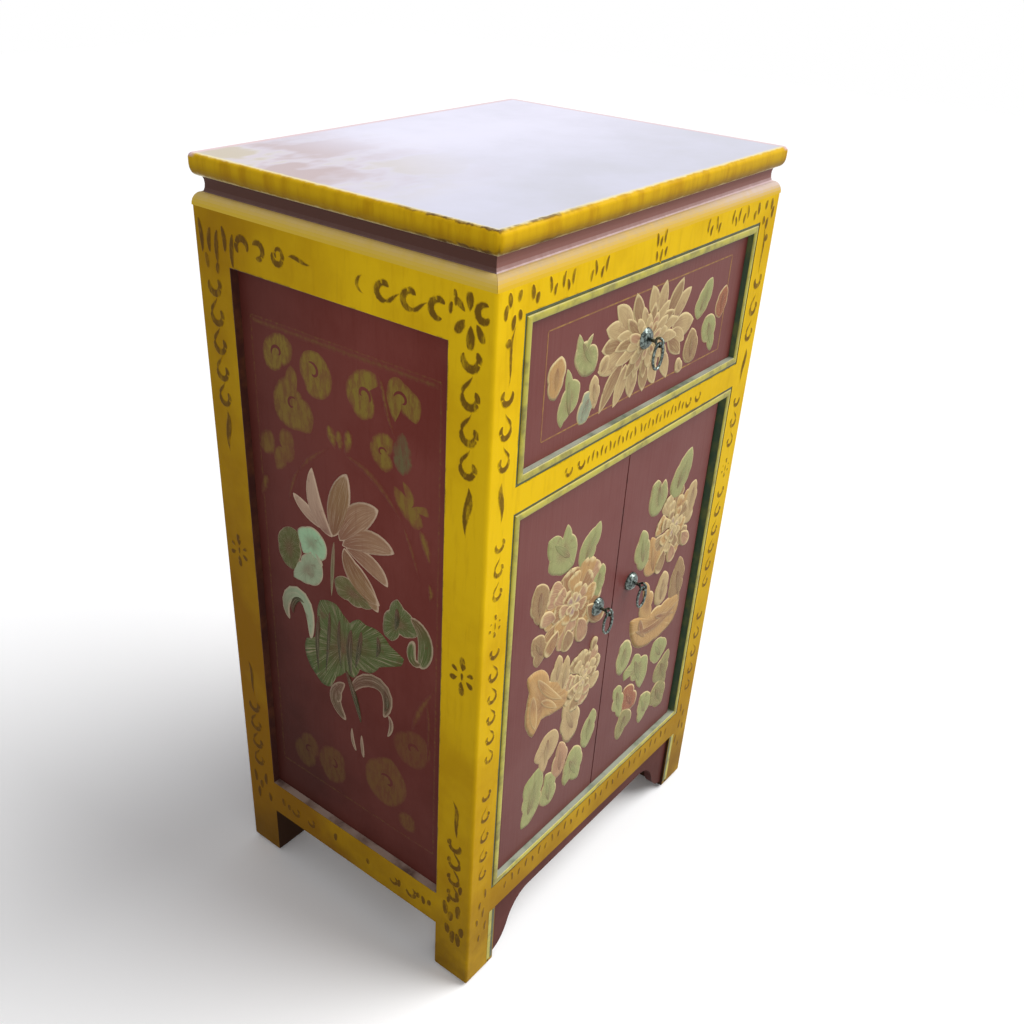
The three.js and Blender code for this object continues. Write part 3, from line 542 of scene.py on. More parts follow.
# %% The faces that were painted
leaf_y = node_box("left_door")[0][1]
panel_x = node_box("left_panel")[0][0]
front_face = Board((0, FRONT_Y, 0), (1, 0, 0), (0, -1, 0))
leaf_face = Board((0, leaf_y, 0), (1, 0, 0), (0, -1, 0))
left_face = Board((-SIDE_X, MIDDLE_Y, 0), (0, -1, 0), (-1, 0, 0))
right_face = Board((SIDE_X, MIDDLE_Y, 0), (0, -1, 0), (1, 0, 0))
left_board = Board((panel_x, MIDDLE_Y, 0), (0, -1, 0), (-1, 0, 0))
right_board = Board((-panel_x, MIDDLE_Y, 0), (0, -1, 0), (1, 0, 0))
print("front face at y", round(FRONT_Y, 1), "leaf face at y", round(leaf_y, 1), "panel at x",
      round(panel_x, 1))


# %% Bead, groove and reveal paints
def plain_paint(name, main, worn, dusty_highlight):
    """Thin hand paint in two tones, mixed by fine noise, paler with dust and painted highlight on ledges that
    face up.
    """
    material, n, surface = shader(name)
    where = n.place()
    colour = n.mix(n.between(n.noise(where, 55.0, 6.0), 0.42, 0.7), main, worn)
    # Dust and painted highlight on ledges that face up.
    dust_and_highlight = n.times(n.between(n.upward(), 0.4, 0.9), n.between(n.noise(where, 30.0), 0.25, 0.6))
    grain = n.noise(where, 240.0, 3.0)
    coat(n, surface, n.mix(dust_and_highlight, colour, dusty_highlight), 0.45, height=grain, depth=0.0002, strength=0.3)
    return material


lime = plain_paint("lime_bead_paint", linear(182, 172, 62), linear(128, 120, 52), linear(198, 188, 136))
dark_green = plain_paint("dark_green_line_paint", linear(70, 80, 34), linear(44, 50, 24),
                         linear(150, 140, 90))
green = plain_paint("green_reveal_paint", linear(62, 86, 64), linear(96, 108, 62), linear(158, 164, 146))
red_brown = plain_paint("red_brown_reveal_paint", linear(62, 30, 24), linear(92, 52, 30),
                        linear(168, 146, 132))

# %% Bead rings on the front
BEAD_WIDTH = 6.0
BEAD_RISE = 1.1
GROOVE_WIDTH = 2.5
GROOVE_FLOOR = -1.4
GROOVE_TOP = -0.35
LINING = 0.3
CLEAR = 0.05
arch = np.linspace(math.pi, 0, 11)
bead_profile = np.column_stack([BEAD_WIDTH / 2 + BEAD_WIDTH / 2 * np.cos(arch), BEAD_RISE * np.sin(arch)])
bead_profile = np.vstack([bead_profile, [(BEAD_WIDTH - 1, -LINING), (1, -LINING)]])
groove_in, groove_out = BEAD_WIDTH + CLEAR, BEAD_WIDTH + GROOVE_WIDTH - CLEAR
groove_profile = [(groove_in, GROOVE_TOP), (groove_out, GROOVE_TOP), (groove_out, GROOVE_FLOOR),
                  (groove_in, GROOVE_FLOOR)]


def lining_profile(depth):
    """A thin lining of the reveal: from just behind the face back to depth, LINING thick either way."""
    return [(-LINING, -depth), (-LINING, -CLEAR), (LINING, -CLEAR), (LINING, -depth)]


middle_low, middle_high = node_box("front_middle_rail")
top_rail_low = node_box("front_top_rail")[0]
bottom_rail_high = node_box("front_bottom_rail")[1]
openings = {
    "drawer": (middle_high[2], top_rail_low[2]),
    "cupboard": (bottom_rail_high[2], middle_low[2]),
}
leaf_recess = leaf_y - FRONT_Y
for opening, (bottom, top) in openings.items():
    low, high = (-OPENING_X, bottom), (OPENING_X, top)
    ring_piece(opening + "_bead", front_face, low, high, bead_profile, lime)
    ring_piece(opening + "_dark_line", front_face, low, high, groove_profile, dark_green)
    ring_piece(opening + "_reveal", front_face, low, high, lining_profile(leaf_recess + 3), green)
print("openings:", {name: (round(a, 1), round(b, 1)) for name, (a, b) in openings.items()})

# %% Linings of the side openings and strips down the front feet
for board, side in ((left_face, "left"), (right_face, "right")):
    ring_piece(side + "_panel_reveal", board, (-SIDE_OPENING, SIDE_RAIL_HIGH), (SIDE_OPENING, SIDE_RAIL_LOW),
               lining_profile(SIDE_X + panel_x - CLEAR), red_brown)

STRIP_RISE, STRIP_SINK = 0.2, 0.3


def strip(name, board, low, high, finish):
    """A thin painted bar between two corners (across, up) of a board, a little proud and a little sunk."""
    flat = np.array(rectangle(low, high) * 2)
    height = np.array([-STRIP_SINK] * 4 + [STRIP_RISE] * 4)
    faces = [[3, 2, 1, 0], [4, 5, 6, 7], [0, 1, 5, 4], [1, 2, 6, 5], [2, 3, 7, 6], [3, 0, 4, 7]]
    return make_piece(name, board.lay(flat, height), board.facing(faces), finish, "carcass",
                      smooth=False)


FOOT_STRIP_LOW, FOOT_STRIP_HIGH = 10.0, node_box("front_bottom_rail")[0][2] - 0.5
FOOT_STRIPS = (("dark_line", 1.0, 4.5, dark_green), ("lime_strip", 4.8, 9.5, lime))
for hand, side in ((-1, "left"), (1, "right")):
    for name, inner, outer, finish in FOOT_STRIPS:
        low, high = sorted((hand * (OPENING_X + inner), hand * (OPENING_X + outer)))
        strip(side + "_foot_" + name, front_face, (low, FOOT_STRIP_LOW), (high, FOOT_STRIP_HIGH), finish)


# %% [markdown]
# ## Brushwork
# Most of the decoration is one kind of mark: a loaded brush pressed down and lifted. Such a stroke has a
# line to follow, a width that swells and dies away, and a slight thickness of paint: petals, scrolls and dots
# are strokes. Leaves and clouds are patches with a rim of their own. A painting is a list of both on one
# board, made into one mesh. Each point keeps two facts for its finish: its own paint, and its place in the
# mark.

# %% Lines to follow
ROWS, FEW = 15, 9


def eased(rows=ROWS):
    """0 to 1 in small steps at both ends and long ones between: half a cosine wave."""
    return (1 - np.cos(np.linspace(0, math.pi, rows))) / 2


def bend(*controls, rows=ROWS):
    """A Bezier curve: every control point weighted by its binomial share of t and 1 - t."""
    t = eased(rows)[:, None]
    order = len(controls) - 1
    return sum(math.comb(order, k) * t**k * (1 - t)**(order - k) * np.array(point, float)
               for k, point in enumerate(controls))


def curl(centre, radius, start, sweep, end_radius, rows=ROWS):
    """A spiral: the angle grows evenly from start through sweep degrees while the radius changes evenly."""
    t = eased(rows)
    angle = np.radians(start + sweep * t)
    distance = radius + (end_radius - radius) * t
    return np.array(centre, float) + np.column_stack([distance * np.cos(angle), distance * np.sin(angle)])


# %% A painting: strokes and discs on one board
class Painting:
    """Strokes and discs of paint gathered on a board, then made one mesh that rides on a body. A stroke has
    points at TOP and UNDER across its width. Its back is sunk by SINK, its thinnest paint stands LIP high,
    its ends are BLUNT of its width, its dome is full from FULL of its width on, and TIP is how much of the
    way to its tip counts as distance from an edge."""
    TOP = np.linspace(-1, 1, 11)
    UNDER = np.array([0.6, -0.6])
    SINK = 0.25
    BLUNT = 0.035
    LIP = 0.02
    FULL = 0.2
    TIP = 0.6

    def __init__(self, board):
        self.board = board
        self.points, self.faces, self.paints, self.places = [], [], [], []
        self.count = 0

    def keep(self, flat, height, faces, paint, place):
        """Adds points on the board with their paint and place, and faces that count from the first one."""
        self.points.append(self.board.lay(flat, height))
        self.faces += [[corner + self.count for corner in face] for face in self.board.facing(faces)]
        self.paints.append(np.broadcast_to(paint, (len(flat), 4)))
        self.places.append(place)
        self.count += len(flat)

    def stroke(self, line, width, paint, rise=0.6, fall=0.8, dome=0.3, lift=0.0, ripple=(0, 0.0)):
        """Half width is run^rise (1 - run)^fall, scaled to reach width / 2; the top is a dome, 1 - across^4,
        over a flat back sunk in the board. ripple = (waves, depth) scallops the far edge by a cosine."""
        line = np.asarray(line, float)
        run = eased(len(line))
        tangent = np.gradient(line, axis=0)
        tangent /= np.linalg.norm(tangent, axis=1, keepdims=True)
        right = np.column_stack([tangent[:, 1], -tangent[:, 0]])
        peak = rise / (rise + fall)
        swell = run**rise * (1 - run)**fall / (peak**rise * (1 - peak)**fall)
        half = width / 2 * np.maximum(swell, self.BLUNT)
        across = np.concatenate([self.TOP, self.UNDER])
        on_top = np.concatenate([np.ones(len(self.TOP)), np.zeros(len(self.UNDER))])
        waves, depth = ripple
        far = depth * np.cos(across * math.pi * waves) * run[:, None] ** 3
        flat = (line[:, None, :] + right[:, None, :] * (half[:, None] * across)[:, :, None]
                + tangent[:, None, :] * far[:, :, None])
        crown = np.minimum(1.0, half / (width * self.FULL))[:, None] * dome * (1 - across**4) + self.LIP
        height = np.where(on_top > 0, lift + crown, -self.SINK)
        height[:, [0, len(self.TOP) - 1]] = -self.LIP if lift == 0 else -self.SINK
        length = np.linalg.norm(np.diff(line, axis=0), axis=1).sum()
        to_side = half[:, None] * (1 - np.abs(across))
        to_end = (1 - run)[:, None] * length * self.TIP
        edge = np.minimum(to_side, to_end)
        rows, columns = len(line), len(across)
        place = np.stack([np.broadcast_to(run[:, None], edge.shape),
                          np.broadcast_to(across, edge.shape), edge], -1).reshape(-1, 3)
        sides = closed_grid(rows, columns).tolist()
        start = list(range(columns))[::-1]
        end = [(rows - 1) * columns + k for k in range(columns)]
        self.keep(flat.reshape(-1, 2), height.reshape(-1), sides + [start, end], paint, place)

    def disc(self, centre, rim, paint, dome=0.4, lift=0.0, rings=6, step=72):
        """A patch with its rim at distance rim(angle) from the centre: rings at even shares of that
        distance, domed by 1 - share^4, closed by one flat back."""
        angle = np.linspace(0, 2 * math.pi, step, endpoint=False)
        reach = rim(angle)
        share = np.linspace(0, 1, rings + 1)[1:]
        spoke = np.column_stack([np.cos(angle), np.sin(angle)]) * reach[:, None]
        flat = np.vstack([[centre], (np.array(centre) + share[:, None, None] * spoke).reshape(-1, 2)])
        height = np.concatenate([[lift + dome], np.repeat(lift + dome * (1 - share**4), step)])
        height[-step:] = -self.SINK if lift else -self.LIP
        grid = closed_grid(rings, step)[:, ::-1] + 1
        fan = [[0, 1 + k, 1 + (k + 1) % step] for k in range(step)]
        back = [1 + (rings - 1) * step + k for k in range(step)][::-1]
        edge = np.concatenate([[reach.mean()], ((1 - share)[:, None] * reach).reshape(-1)])
        turn = np.concatenate([[0.0], np.tile(np.sin(angle * 9), rings)])
        run = np.concatenate([[0.0], np.repeat(share, step)])
        self.keep(flat, height, grid.tolist() + fan + [back], paint, np.column_stack([run, turn, edge]))

    def patch(self, rim, paint, lift=0.0, dome=0.35, step=108):
        """A patch through rim points given in order. Its centre is their mean, and from each point to the
        next the distance from the centre changes evenly with the angle."""
        rim = np.array(rim, float)
        centre = rim.mean(axis=0)
        turn = np.arctan2(*(rim - centre).T[::-1])
        length = np.hypot(*(rim - centre).T)
        self.disc(centre, lambda angle: np.interp(angle, turn, length, period=2 * math.pi), paint, dome, lift,
                  step=step)

    def finish(self, name, material, body, slot):
        """Makes the gathered marks one piece; its points keep their paint and place as attributes."""
        piece = make_piece(name, np.vstack(self.points), self.faces, material, body)
        paints = piece.data.attributes.new("paint", "FLOAT_COLOR", "POINT")
        paints.data.foreach_set("color", np.vstack(self.paints).astype(np.float32).ravel())
        places = piece.data.attributes.new("place", "FLOAT_VECTOR", "POINT")
        places.data.foreach_set("vector", np.vstack(self.places).astype(np.float32).ravel())
        return piece


# %% [markdown]
# Two finishes serve every stroke. Petal paint keeps a pale outline, a dark root and hairlines drawn along
# the petal. Scroll paint thins out towards its edge, where the ground shows through. The fourth number of a
# paint is how much outline a petal has, or how much of the ground a scroll covers.

# %% Stroke finishes
def stroke_facts(n):
    """What a stroke's points carry: its paint, the paint's fourth number, and its place, which is the run
    from root to tip, the way across, and the distance from the edge in millimetres."""
    paint = n.add("ShaderNodeAttribute", attribute_name="paint")
    amount = n.add("ShaderNodeAttribute", output=3, attribute_name="paint")
    place = n.add("ShaderNodeAttribute", output=1, attribute_name="place")
    return paint, amount, place


def faint(paint, amount):
    """The same paint with another fourth number."""
    return (*paint[:3], amount)


def petal_finish(name, outline, tones, gloss, line_width):
    """Paint dark at the root and full at the tip, hairlines along it, a pale brushed outline, worn spots."""
    material, n, surface = shader(name)
    paint, amount, place = stroke_facts(n)
    run, edge = n.axis(place, "X"), n.axis(place, "Z")
    where = n.place()
    ground = brushed(n, tones)[0]
    deep = n.mix(0.5, paint, ground)
    colour = n.mix(n.between(run, 0.0, 0.65), deep, paint)
    drift = n.add("ShaderNodeVectorMath", {0: where, 1: (7.0, 7.0, 7.0)}, operation="MULTIPLY")
    along = n.add("ShaderNodeVectorMath", {0: place, 1: (1.2, 9.0, 0.0)}, operation="MULTIPLY")
    hair = n.noise(n.add("ShaderNodeVectorMath", {0: along, 1: drift}), 1.6, 5.0, 0.65)
    colour = n.mix(n.times(n.between(hair, 0.5, 0.66), 0.5), colour, outline)
    colour = n.mix(n.times(n.between(hair, 0.5, 0.36), 0.4), colour, deep)
    upright = n.noise(n.place((220, 220, 12)), 1.0, 3.0)
    colour = n.mix(n.times(n.between(upright, 0.52, 0.7), 0.35), colour, deep)
    ragged = n.plus(edge, n.times(n.minus(n.noise(where, 320.0, 3.0), 0.5), 1.4))
    line = n.times(n.between(ragged, line_width * 1.7, line_width * 0.5), 0.85)
    colour = n.mix(n.times(line, amount), colour, outline)
    worn = n.times(n.between(n.noise(where, 85.0, 6.0, 0.7), 0.56, 0.7), 0.4)
    coat(n, surface, n.mix(worn, colour, ground), 0.5, gloss, hair, depth=0.0003, strength=0.35)
    return material


def scroll_finish(name, tones, gloss, soft, cover, broken=(0.3, 0.55)):
    """Paint that covers the ground in the middle of the stroke and thins over soft millimetres at its
    edge. Broken sets how much of it is dry brushwork."""
    material, n, surface = shader(name)
    paint, amount, place = stroke_facts(n)
    where = n.place()
    ragged = n.plus(n.axis(place, "Z"), n.times(n.minus(n.noise(where, 260.0, 3.0), 0.5), soft))
    body = n.between(ragged, 0.0, soft)
    dry = n.between(n.noise(n.place((1.0, 1.0, 0.35)), 190.0, 5.0, 0.7), *broken)
    covered = n.times(n.times(body, n.plus(n.times(dry, 0.55), 0.45)), n.times(amount, cover))
    grain = n.noise(where, 260.0, 3.0)
    coat(n, surface, n.mix(covered, brushed(n, tones)[0], paint), 0.5, gloss, grain, depth=0.0002,
         strength=0.3)
    return material


frame_brush = scroll_finish("brown_scrollwork", YELLOW_TONES, gloss=0.05, soft=1.3, cover=0.9)
gold_brush = scroll_finish("dull_gold_scrollwork", MAROON_TONES, gloss=0.08, soft=6.0, cover=0.95,
                           broken=(0.36, 0.6))
gold_line_brush = scroll_finish("gold_border_line", LEAF_TONES, gloss=0.3, soft=0.4, cover=0.75,
                                broken=(0.42, 0.6))
lotus_paint = petal_finish("lotus_paint", linear(216, 190, 162), MAROON_TONES, gloss=0.1, line_width=1.7)
peony_paint = petal_finish("peony_paint", linear(212, 192, 142), LEAF_TONES, gloss=0.2, line_width=2.0)

BROWN = linear(92, 62, 22)
OLIVE_GOLD = linear(142, 122, 50)
GREY_OLIVE = linear(106, 108, 70)
EYE = linear(84, 48, 34)
GOLD = linear(176, 138, 60)


# %% [markdown]
# ## Scrollwork on the frame
# Posts and rails carry a running vine of hooks between corner flowers, with a rosette at mid height. The
# vine is a loop over hooks that shrink, with their spacing, towards its free end, where it may end in a
# leaf. Quick upright dabs fill the rails.

# %% Frame motifs
def petals_round(painting, centre, inner, outer, count, width, paint, start=90.0, **shape):
    """Strokes like spokes, from the inner to the outer distance, at even angles from start."""
    for turn in np.radians(start + np.arange(count) * 360 / count):
        way = np.array([math.cos(turn), math.sin(turn)])
        painting.stroke(bend(centre + way * inner, centre + way * outer, rows=FEW), width, paint, **shape)


def turned(points, centre, degrees, mirror=1, scale=1.0):
    """Points about (0, 0), flipped across if mirror is -1, scaled, turned and moved to a centre."""
    a = math.radians(degrees)
    turn = np.array([[math.cos(a), -math.sin(a)], [math.sin(a), math.cos(a)]])
    return (np.asarray(points, float) * (mirror * scale, scale)) @ turn.T + centre


def motif(painting, line, width, centre, heading, mirror=1, scale=1.0, **shape):
    """A brown stroke whose line is drawn about (0, 0), then flipped, scaled, turned and moved to a centre."""
    painting.stroke(turned(line, centre, heading, mirror, scale), width * scale, BROWN, **shape)


def hook(painting, centre, heading, mirror=1, scale=1.0, tail=True):
    """One unit of the vine: a curl like a C with a full end, and a thin tail that runs on to the next."""
    place = (centre, heading, mirror, scale)
    motif(painting, curl((0, 0), 7.8, 150, 250, 5.2), 7.6, *place, rise=0.45, fall=0.6, dome=0.18)
    motif(painting, bend((4.0, 6.5), (7.5, 3.0), (6.5, -2.5)), 6.4, *place, rise=0.5, fall=0.4, dome=0.2)
    if tail:
        motif(painting, bend((-6.6, 1.0), (-9.5, 8.0), (-1.0, 10.0), (2.0, 19.0)), 4.8, *place, rise=0.5,
              fall=0.8, dome=0.16)


def vine(painting, start, heading, count, pitch=29.0, scale=1.0, shrink=0.97, leaf=True, mirror=1):
    """Hooks along a heading in degrees (-90 runs down), each a little smaller and closer, then a leaf."""
    way = np.array([math.cos(math.radians(heading)), math.sin(math.radians(heading))])
    at, size = np.array(start, float), scale
    for step in range(count):
        hook(painting, at, heading + 90, mirror, size, tail=step > 0)
        at = at + way * pitch * size / scale
        size *= shrink
    if leaf:
        motif(painting, bend((1.0, 14.0), (7.0, -4.0), (-7.0, -14.0), (1.0, -38.0)), 9.5, at, heading + 90,
              mirror, size, rise=0.8, fall=1.2, dome=0.2)


def dabs(painting, places, length, width, lean=1.2):
    """Short upright dabs at places (across, up), each with a lean, every other one shorter."""
    for index, (across, up) in enumerate(places):
        half = length / 2 * (1 - 0.25 * (index % 2))
        tilt = lean * (1 if index % 3 else -1)
        painting.stroke(bend((across + tilt, up + half), (across - tilt, up), (across, up - half), rows=FEW),
                        width, BROWN, rise=0.4, fall=0.5, dome=0.18)


def rosette(painting, centre, reach=(21.0, 13.0), width=7.0):
    """Eight petals round a dab, the upright ones longer: reach is (upright, slanting)."""
    centre = np.array(centre, float)
    petals_round(painting, centre, 6.0, reach[0], 2, width, BROWN, rise=0.8, fall=0.5, dome=0.18)
    petals_round(painting, centre, 5.0, reach[1] + 2, 3, width, BROWN, start=-35, rise=1.0, fall=0.6,
                 dome=0.18)
    petals_round(painting, centre, 5.0, reach[1] + 1, 3, width * 0.8, BROWN, start=25, rise=1.0, fall=0.6,
                 dome=0.18)
    painting.stroke(bend(centre + (0, 4), centre - (0, 5), rows=FEW), width * 0.6, BROWN, dome=0.16)


def corner_flower(painting, centre):
    """Five full dabs fanned from a heart and a thick curl with a dark end towards the corner."""
    for base, tip, width in (((-1, 3), (-2, 18), 8.0), ((-5, 2), (-16, 11), 7.0), ((-5, -3), (-14, -15), 8.5),
                             ((0, -6), (0, -25), 9.0), ((5, -4), (12, -17), 8.0)):
        line = bend(base, (np.array(base) + tip) / 2 + (1, 1), tip, rows=FEW)
        motif(painting, line, width, centre, 0, rise=0.7, fall=0.45, dome=0.2)
    motif(painting, curl((12, 4), 7.5, 60, 290, 4.0), 7.4, centre, 0, rise=0.4, fall=0.4, dome=0.2)


# %% The side frames: posts and rails
def paint_side_frame(board, name):
    """One side of the cabinet: across runs from the rear post to the front post."""
    work = Painting(board)
    front_post, rear_post = 140.0, -139.0
    corner_flower(work, (front_post - 2, 698))
    vine(work, (front_post, 667), -90, 4, pitch=29.5, scale=1.05)
    rosette(work, (front_post + 1, 388))
    line = bend((front_post - 5, 243), (front_post + 6, 232), (front_post - 3, 222), (front_post + 2, 198))
    work.stroke(line, 6.0, BROWN, rise=0.6, fall=0.5, dome=0.2)
    vine(work, (front_post - 1, 187), -90, 4, pitch=23.0, scale=0.95, leaf=False, mirror=-1)
    dabs(work, ((130, 96), (137, 88), (146, 100), (133, 68), (140, 60), (151, 74), (147, 60)), 20, 8.0)
    dabs(work, ((144, 120), (134, 110), (148, 132)), 13, 6.0)

    dabs(work, ((-151, 696), (-141, 694), (-132, 690), (-122, 698), (-113, 690)), 29, 6.4, 2.0)
    dabs(work, ((-146, 676), (-133, 672)), 14, 6.0)
    hook(work, (-101, 697), 180, 1, 0.95, tail=False)
    hook(work, (-81, 697), 120, -1, 0.9, tail=False)
    hook(work, (-58, 697), 0, 1, 0.85, tail=False)
    hook(work, (-57, 700), 180, 1, 0.6, tail=False)
    work.stroke(bend((-46, 700), (-38, 704), (-30, 696), (-20, 699)), 5.0, BROWN, dome=0.16)
    vine(work, (rear_post, 656), -90, 5, pitch=26.5)
    rosette(work, (rear_post - 1, 396), (19.0, 12.0), 6.0)
    work.stroke(bend((rear_post - 4, 262), (rear_post + 5, 248), (rear_post - 4, 240), (rear_post + 2, 214)),
                5.6, BROWN, dome=0.2)
    vine(work, (rear_post, 204), -90, 4, pitch=26.0, scale=0.95, leaf=False)
    dabs(work, ((-148, 100), (-139, 92), (-131, 104), (-126, 80), (-144, 78)), 18, 6.4)

    vine(work, (108, 697), 180, 3, pitch=27.0, leaf=False, mirror=-1)
    work.stroke(bend((34, 704), (26, 700), (26, 692), (36, 690)), 4.6, BROWN, dome=0.18)
    dabs(work, ((124, 708), (120, 700)), 13, 5.0)
    for across, size in ((-84, 0.75), (-60, 0.7), (61, 0.7), (85, 0.85)):
        hook(work, (across, 84), 20, 1, size, tail=False)
    dabs(work, (
        (-104, 86), (-95, 84), (-23, 88), (24, 85), (68, 84), (94, 86), (101, 84), (109, 86),
    ), 12, 6.5)
    return work.finish(name, frame_brush, "carcass", "yellow_paint")


for board, name in ((left_face, "left_frame_scrollwork"), (right_face, "right_frame_scrollwork")):
    paint_side_frame(board, name)


# %% The front frame
def paint_front_frame():
    """The front posts mirror each other about the middle, and so do the two halves of each rail."""
    work = Painting(front_face)
    dabs(work, ((-6, 716), (0, 714), (6, 717), (-5, 703), (2, 702), (9, 704)), 12, 4.6)
    for side in (-1, 1):
        post = side * 194.0
        dabs(work, [(side * across, up) for across, up in (
            (197, 711), (186, 712), (201, 703), (185, 698), (192, 694), (165, 706), (171, 711))], 12, 6.0)
        work.stroke(bend((post - side * 5, 692), (post + side * 4, 676), (post - side * 4, 664), (post, 646)),
                    4.4, BROWN, dome=0.18)
        work.stroke(bend((post + side * 3, 684), (post + side * 2, 676), rows=FEW), 8.0, BROWN, dome=0.18)
        vine(work, (post + side * 1, 640), -90, 3, pitch=27.0, scale=0.85, mirror=side)
        vine(work, (post, 516), -90, 3, pitch=23.0, scale=0.72, shrink=0.98, leaf=False, mirror=-side)
        rosette(work, (post + side * 1, 440), (12.0, 7.0), 4.4)
        vine(work, (post, 412), -90, 6, pitch=24.0, scale=0.74, shrink=0.98, leaf=False, mirror=side)
        vine(work, (post, 252), -90, 5, pitch=27.0, scale=0.72, leaf=False, mirror=-side)
        dabs(work, [(side * across, up) for across, up in (
            (188, 118), (196, 106), (190, 92), (199, 84), (186, 70), (195, 58))], 15, 4.6)
        dabs(work, [(side * across, 709.5 + 2.5 * (-1) ** k) for k, across in enumerate(
            (150, 144, 134, 128, 122, 98, 93, 84, 78))], 13, 4.6, 1.8)
        dabs(work, [(side * (5 + k * 6.6), 548.5 + 0.8 * (-1) ** k) for k in range(12)], 11, 3.8, 1.4)
        for across in (88, 106):
            hook(work, (side * across, 548), 0, side, 0.62, tail=False)
        dabs(work, [(side * (6 + k * 11.5), 104 + 1.6 * (-1) ** k) for k in range(14)], 13, 4.4, 1.6)
    return work.finish("front_frame_scrollwork", frame_brush, "carcass", "yellow_paint")


paint_front_frame()


# %% [markdown]
# ## The side panels
# A thin gold border, dull gold cloud scrolls in the corners, a vine down the front edge, and in the middle a
# lotus with pale leaves and a wide ruffled leaf. Clouds and leaves are patches: a rim of measured points
# round a centre. A cloud has a curl laid on it. The lotus is a fan of pointed petals from one heart.

# %% Border, clouds and vine
def border(painting, low, high, width, paint):
    """A painted line round a rectangle: four straight strokes of even width."""
    corners = rectangle(low, high)
    for a, b in zip(corners, corners[1:] + corners[:1]):
        painting.stroke(bend(a, b, rows=40), width, paint, rise=0.03, fall=0.03, dome=0.08)


def patches(painting, shapes, dome=0.35):
    """Patches given as (paint, lift, rim points)."""
    for paint, lift, rim in shapes:
        painting.patch(rim, paint, lift, dome)


def lines(painting, strokes, paint, **shape):
    """Strokes given as (points to bend through, width)."""
    for points, width in strokes:
        painting.stroke(bend(*points), width, paint, **shape)


SHARP_FROM = 30
MID_HEIGHT = 400


